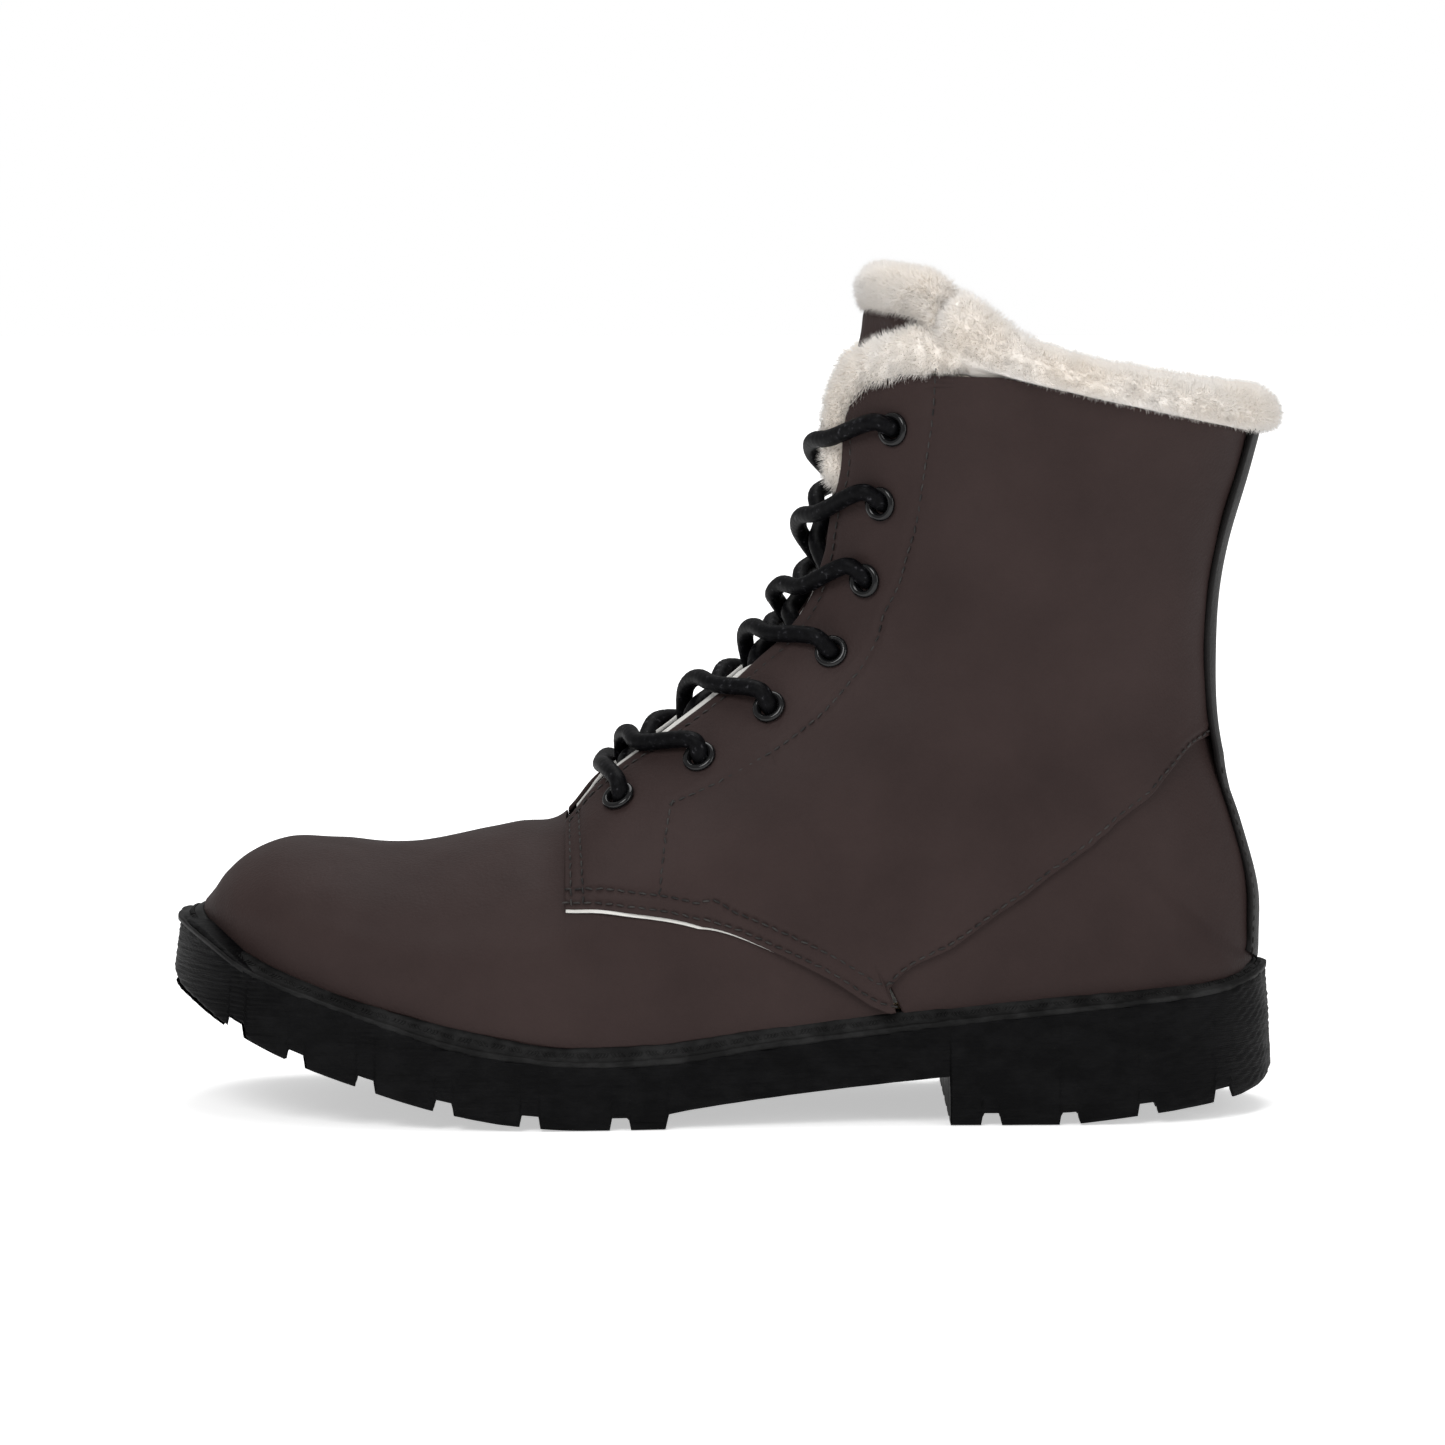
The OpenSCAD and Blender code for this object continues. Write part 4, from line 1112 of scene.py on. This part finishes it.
def hairs(rng, roots, normals, flow, length, seed):
    """Thin closed three-sided spikes on the points given, as vertices and faces."""
    n = len(roots)
    wave = np.stack([ripple(roots, HAIR_CLUMP, seed + k) for k in range(3)], axis=1)
    d = unit(normals + flow + HAIR_LEAN * wave + rng.normal(0, 0.3, (n, 3)))
    size = length * rng.uniform(0.55, 1.1, n)
    u = unit(np.cross(d, rng.normal(0, 1, (n, 3))))
    v = np.cross(d, u)
    start = roots - d * 0.9
    verts = np.empty((n, 4, 3))
    for k in range(3):
        w = 2 * math.pi * k / 3
        verts[:, k] = start + (u * math.cos(w) + v * math.sin(w)) * HAIR_RADIUS
    verts[:, 3] = start + d * (size + 0.9)[:, None]
    corners = 4 * np.arange(n)[:, None, None] + np.array([[0, 1, 3], [1, 2, 3], [2, 0, 3], [2, 1, 0]])
    return verts.reshape(-1, 3), corners.reshape(-1, 3).tolist()


def furry(name, grid, flow, body, nodes, count, seed, share=None):
    """Closed base of rings with hair, as one padded piece; share scales how thick and long the hair is."""
    rng = np.random.default_rng(seed)
    m, n = grid.shape[:2]
    a = np.roll(grid, -1, 1)[:-1] - grid[:-1]
    b = grid[1:] - grid[:-1]
    cross = np.cross(a, b)
    area = np.linalg.norm(cross, axis=-1)
    centre = grid.reshape(-1, n, 3).mean(axis=1)[:-1, None]
    turned = np.sign(np.sum(cross * (grid[:-1] - centre), axis=-1).sum())
    normal = unit(cross) * turned
    share = np.ones(area.shape) if share is None else share[:-1]
    weight = area * share
    pick = rng.choice(area.size, size=count, p=weight.ravel() / weight.sum())
    i, j = np.unravel_index(pick, area.shape)
    f, g = rng.uniform(size=(2, count))
    roots = grid[i, j] + a[i, j] * f[:, None] + b[i, j] * g[:, None]
    push = np.broadcast_to(np.asarray(flow, float), grid.shape)[i, j]
    length = HAIR_LENGTH * (0.35 + 0.65 * share[i, j])
    verts, spikes = hairs(rng, roots, normal[i, j], push, length, seed)
    faces = tube_faces(m, n, flip=turned < 0)
    spikes = [[q + m * n for q in face] for face in spikes]
    obj = mesh_object(name, np.concatenate([grid.reshape(-1, 3), verts]), faces + spikes, FUR)
    put(obj, body, "plush", *nodes)
    return obj


def soft_ends(m, reach):
    """Scale of each ring so that a roll closes roundly at both ends."""
    k = np.minimum(np.arange(m), np.arange(m)[::-1]) + 0.15
    x = np.clip(1 - k / reach, 0, 1)
    return np.sqrt(1 - x * x)


def closed_profile(points, n):
    """Closed smooth outline through points, evenly spaced."""
    p = np.array(points, float)
    loop = spline(np.vstack([p[-2:], p, p[:3]]), 0.02)
    first = np.argmin(np.linalg.norm(loop[:len(loop) // 2] - p[0], axis=1))
    last = len(loop) // 2 + np.argmin(np.linalg.norm(loop[len(loop) // 2:] - p[0], axis=1))
    return resample_to(loop[first:last + 1], n + 1)[:-1]


def build_collar_fur():
    """Roll that comes out from behind the leather's top edge and swells over it."""
    q = np.linspace(0.3, 1.7, 300)
    t = np.where(q <= 1, q, q - 2)
    top = smooth_table(CUFF_TOP)(np.abs(t))
    ends = soft_ends(len(q), 8)
    profile = closed_profile([
        (0, .09), (.1, .07), (.17, -.16), (.3, -.38), (.48, -.5), (.68, -.46), (.86, -.3), (.97, -.06),
        (1, .22), (.95, .5), (.8, .72), (.55, .84), (.3, .86), (.1, .8), (0, .55)], 60)
    rise, swell = profile[None, :, 0], profile[None, :, 1] * 10
    back = 1 + 0.1 * np.clip((np.abs(t) - 0.8) / 0.2, 0, 1)
    depth = np.where(swell < 0, swell * back[:, None], swell)
    depth = 2 + (depth - 2) * ends[:, None]
    rise = 0.4 + (rise - 0.4) * (0.3 + 0.7 * ends[:, None])
    base = COLLAR - 0.1
    s = base + (top - base)[:, None] * rise
    places = t[:, None] + 0 * s
    grid = at(s, places, depth)
    share = np.clip((rise + 0 * depth - 0.13) / 0.22, 0, 1)
    lumps = pile(grid, 141, 0.6) * np.clip(share, 0.15, 1)
    grid = grid + outward(s, places) * lumps[..., None]
    low = np.clip(1 - (rise + 0 * depth) / 0.45, 0, 1)
    flow = np.stack([0 * low, 0 * low, 0.9 * low - 0.1], axis=-1)
    furry("collar_fur", grid, flow, "boot", ["collar_cuff"], count=41000, seed=151, share=share)


def build_facing_fur():
    for side, word in SIDES:
        # section, place, depth of the middle, radius
        places = [(26.85, .355, 2.2, 4.6), (26.75, .30, 1.6, 5.4), (26.55, .24, 1.0, 5.8),
                  (26.2, .185, .6, 5.8), (25.75, .135, .4, 5.6), (25.2, .1, .5, 5.4),
                  (24.6, .085, .9, 5.0), (24, .085, 1.3, 4.5), (23.5, .09, 1.8, 4.1),
                  (23, .1, 2.4, 3.6), (22.5, .11, 3.0, 3.0)]
        line = spline([at(s, side * t, d) for s, t, d, _ in places], 0.6)
        along = np.linspace(0, 1, len(line))
        radii = np.interp(along, np.linspace(0, 1, len(places)), [p[3] for p in places])
        radii = radii * soft_ends(len(line), 9)
        grid = tube(line, lambda along, angle: radii[:, None] + 0 * angle, 30)
        away, thin = grid - line[:, None], np.minimum(radii / 3, 1)
        grid = grid + unit(away) * pile(grid, 161 + side, 0.6)[..., None] * thin[:, None, None]
        furry("facing_fur_" + word, grid, (-0.1, 0, -0.25), "boot", [], count=12500, seed=171 + side)


def build_tongue_fur():
    w = np.linspace(-1, 1, 150)
    t = 0.285 * np.sin(w * math.pi / 2 * 0.98)
    ends = soft_ends(len(w), 6)
    phi = np.linspace(0, 2 * math.pi, 56, endpoint=False)
    c, s_ = np.cos(phi), np.sin(phi)
    shape = lambda x, p: np.sign(x) * np.abs(x) ** p
    middle_s = 27.9 - 1.2 * np.clip((np.abs(w) - 0.5) / 0.5, 0, 1) ** 2
    s = middle_s[:, None] + 0.44 * shape(s_, 0.9)[None, :] * ends[:, None]
    depth = tongue_depth(s, t[:, None], 0.8) + 2.9 - 4.6 * shape(c, 0.9)[None, :] * ends[:, None]
    grid = at(s, t[:, None] + 0 * s, depth)
    out = outward(s, t[:, None] + 0 * s)
    grid = grid + out * pile(grid, 181, 0.6)[..., None]
    furry("tongue_fur", grid, (-0.05, 0, -0.12), "tongue", [], count=30000, seed=191)
    s, t = tongue_grid(8.9, 28.3, 120, 0.004)
    near = tongue_depth(s, t, 0.8) + 5.1
    far = near + 3 + np.minimum(pile(at(s, t, near + 3), 195), 0.8)
    far = far - rounding(at(s, t, near), 1.2)
    layer("tongue_plush", s, t, near, far, PLUSH_PILE, "plush", "tongue_lining", body="tongue")


build_collar_fur()
build_facing_fur()
build_tongue_fur()


# ---- floor, light and camera ----

def area_light(name, place, aim, size, power, colour=(1, 1, 1)):
    data = bpy.data.lights.new(name, "AREA")
    data.shape = "RECTANGLE"
    data.size, data.size_y = size
    data.energy = power
    data.color = colour
    obj = bpy.data.objects.new(name, data)
    obj.location = place
    obj.rotation_euler = (Vector(aim) - Vector(place)).to_track_quat("-Z", "Y").to_euler()
    bpy.context.collection.objects.link(obj)


def stage():
    mat = material("white_floor", (0.93, 0.93, 0.93), 1.0, Specular_IOR_Level=0.0)
    shader_of(mat).inputs["Emission Color"].default_value = (1, 1, 1, 1)
    from_middle = node(mat, "ShaderNodeVectorMath", operation="LENGTH")
    link(mat, place_source(mat), "Vector", from_middle, "Vector")
    glow = node(mat, "ShaderNodeMapRange", in_From_Min=0.3, in_From_Max=1.0, in_To_Min=0.5, in_To_Max=1.0)
    link(mat, from_middle, "Value", glow, "Value")
    path = node(mat, "ShaderNodeLightPath")
    shown = node(mat, "ShaderNodeMapRange", in_To_Min=0.3)
    link(mat, path, "Is Camera Ray", shown, "Value")
    link(mat, glow, "Result", shown, "To Max")
    link(mat, shown, "Result", shader_of(mat), "Emission Strength")
    corners = [(x * 9000, y * 9000, -0.2) for x, y in ((-1, -1), (1, -1), (1, 1), (-1, 1))]
    floor = mesh_object("floor", corners, [[0, 1, 2, 3]], mat, smooth=False)
    world = bpy.data.worlds.new("studio")
    world.use_nodes = True
    background = world.node_tree.nodes["Background"]
    background.inputs["Color"].default_value = (1, 1, 1, 1)
    seen = world.node_tree.nodes.new("ShaderNodeLightPath")
    strength = world.node_tree.nodes.new("ShaderNodeMapRange")
    strength.inputs["To Min"].default_value = 0.42
    strength.inputs["To Max"].default_value = 1.0
    world.node_tree.links.new(seen.outputs["Is Camera Ray"], strength.inputs["Value"])
    world.node_tree.links.new(strength.outputs["Result"], background.inputs["Strength"])
    bpy.context.scene.world = world
    area_light("key", (-0.5, -1.1, 1.1), (0, 0, 0.1), (0.7, 0.7), 10)
    area_light("fill", (1.2, -0.9, 0.5), (0, 0, 0.1), (0.6, 1.0), 4)
    area_light("top", (0.1, 0.3, 1.3), (0, 0, 0.1), (0.9, 0.9), 8)


def camera():
    data = bpy.data.cameras.new("camera")
    data.lens = 150
    data.sensor_width = 36
    data.clip_end = 30
    obj = bpy.data.objects.new("camera", data)
    tilt, distance = math.radians(5), 1.644
    aim = Vector((0.0011, 0, 0.104))
    obj.location = aim + distance * Vector((0, -math.cos(tilt), math.sin(tilt)))
    obj.rotation_euler = (math.pi / 2 - tilt, 0, 0)
    bpy.context.collection.objects.link(obj)
    bpy.context.scene.camera = obj


stage()
camera()
bpy.context.scene.view_settings.view_transform = "Standard"
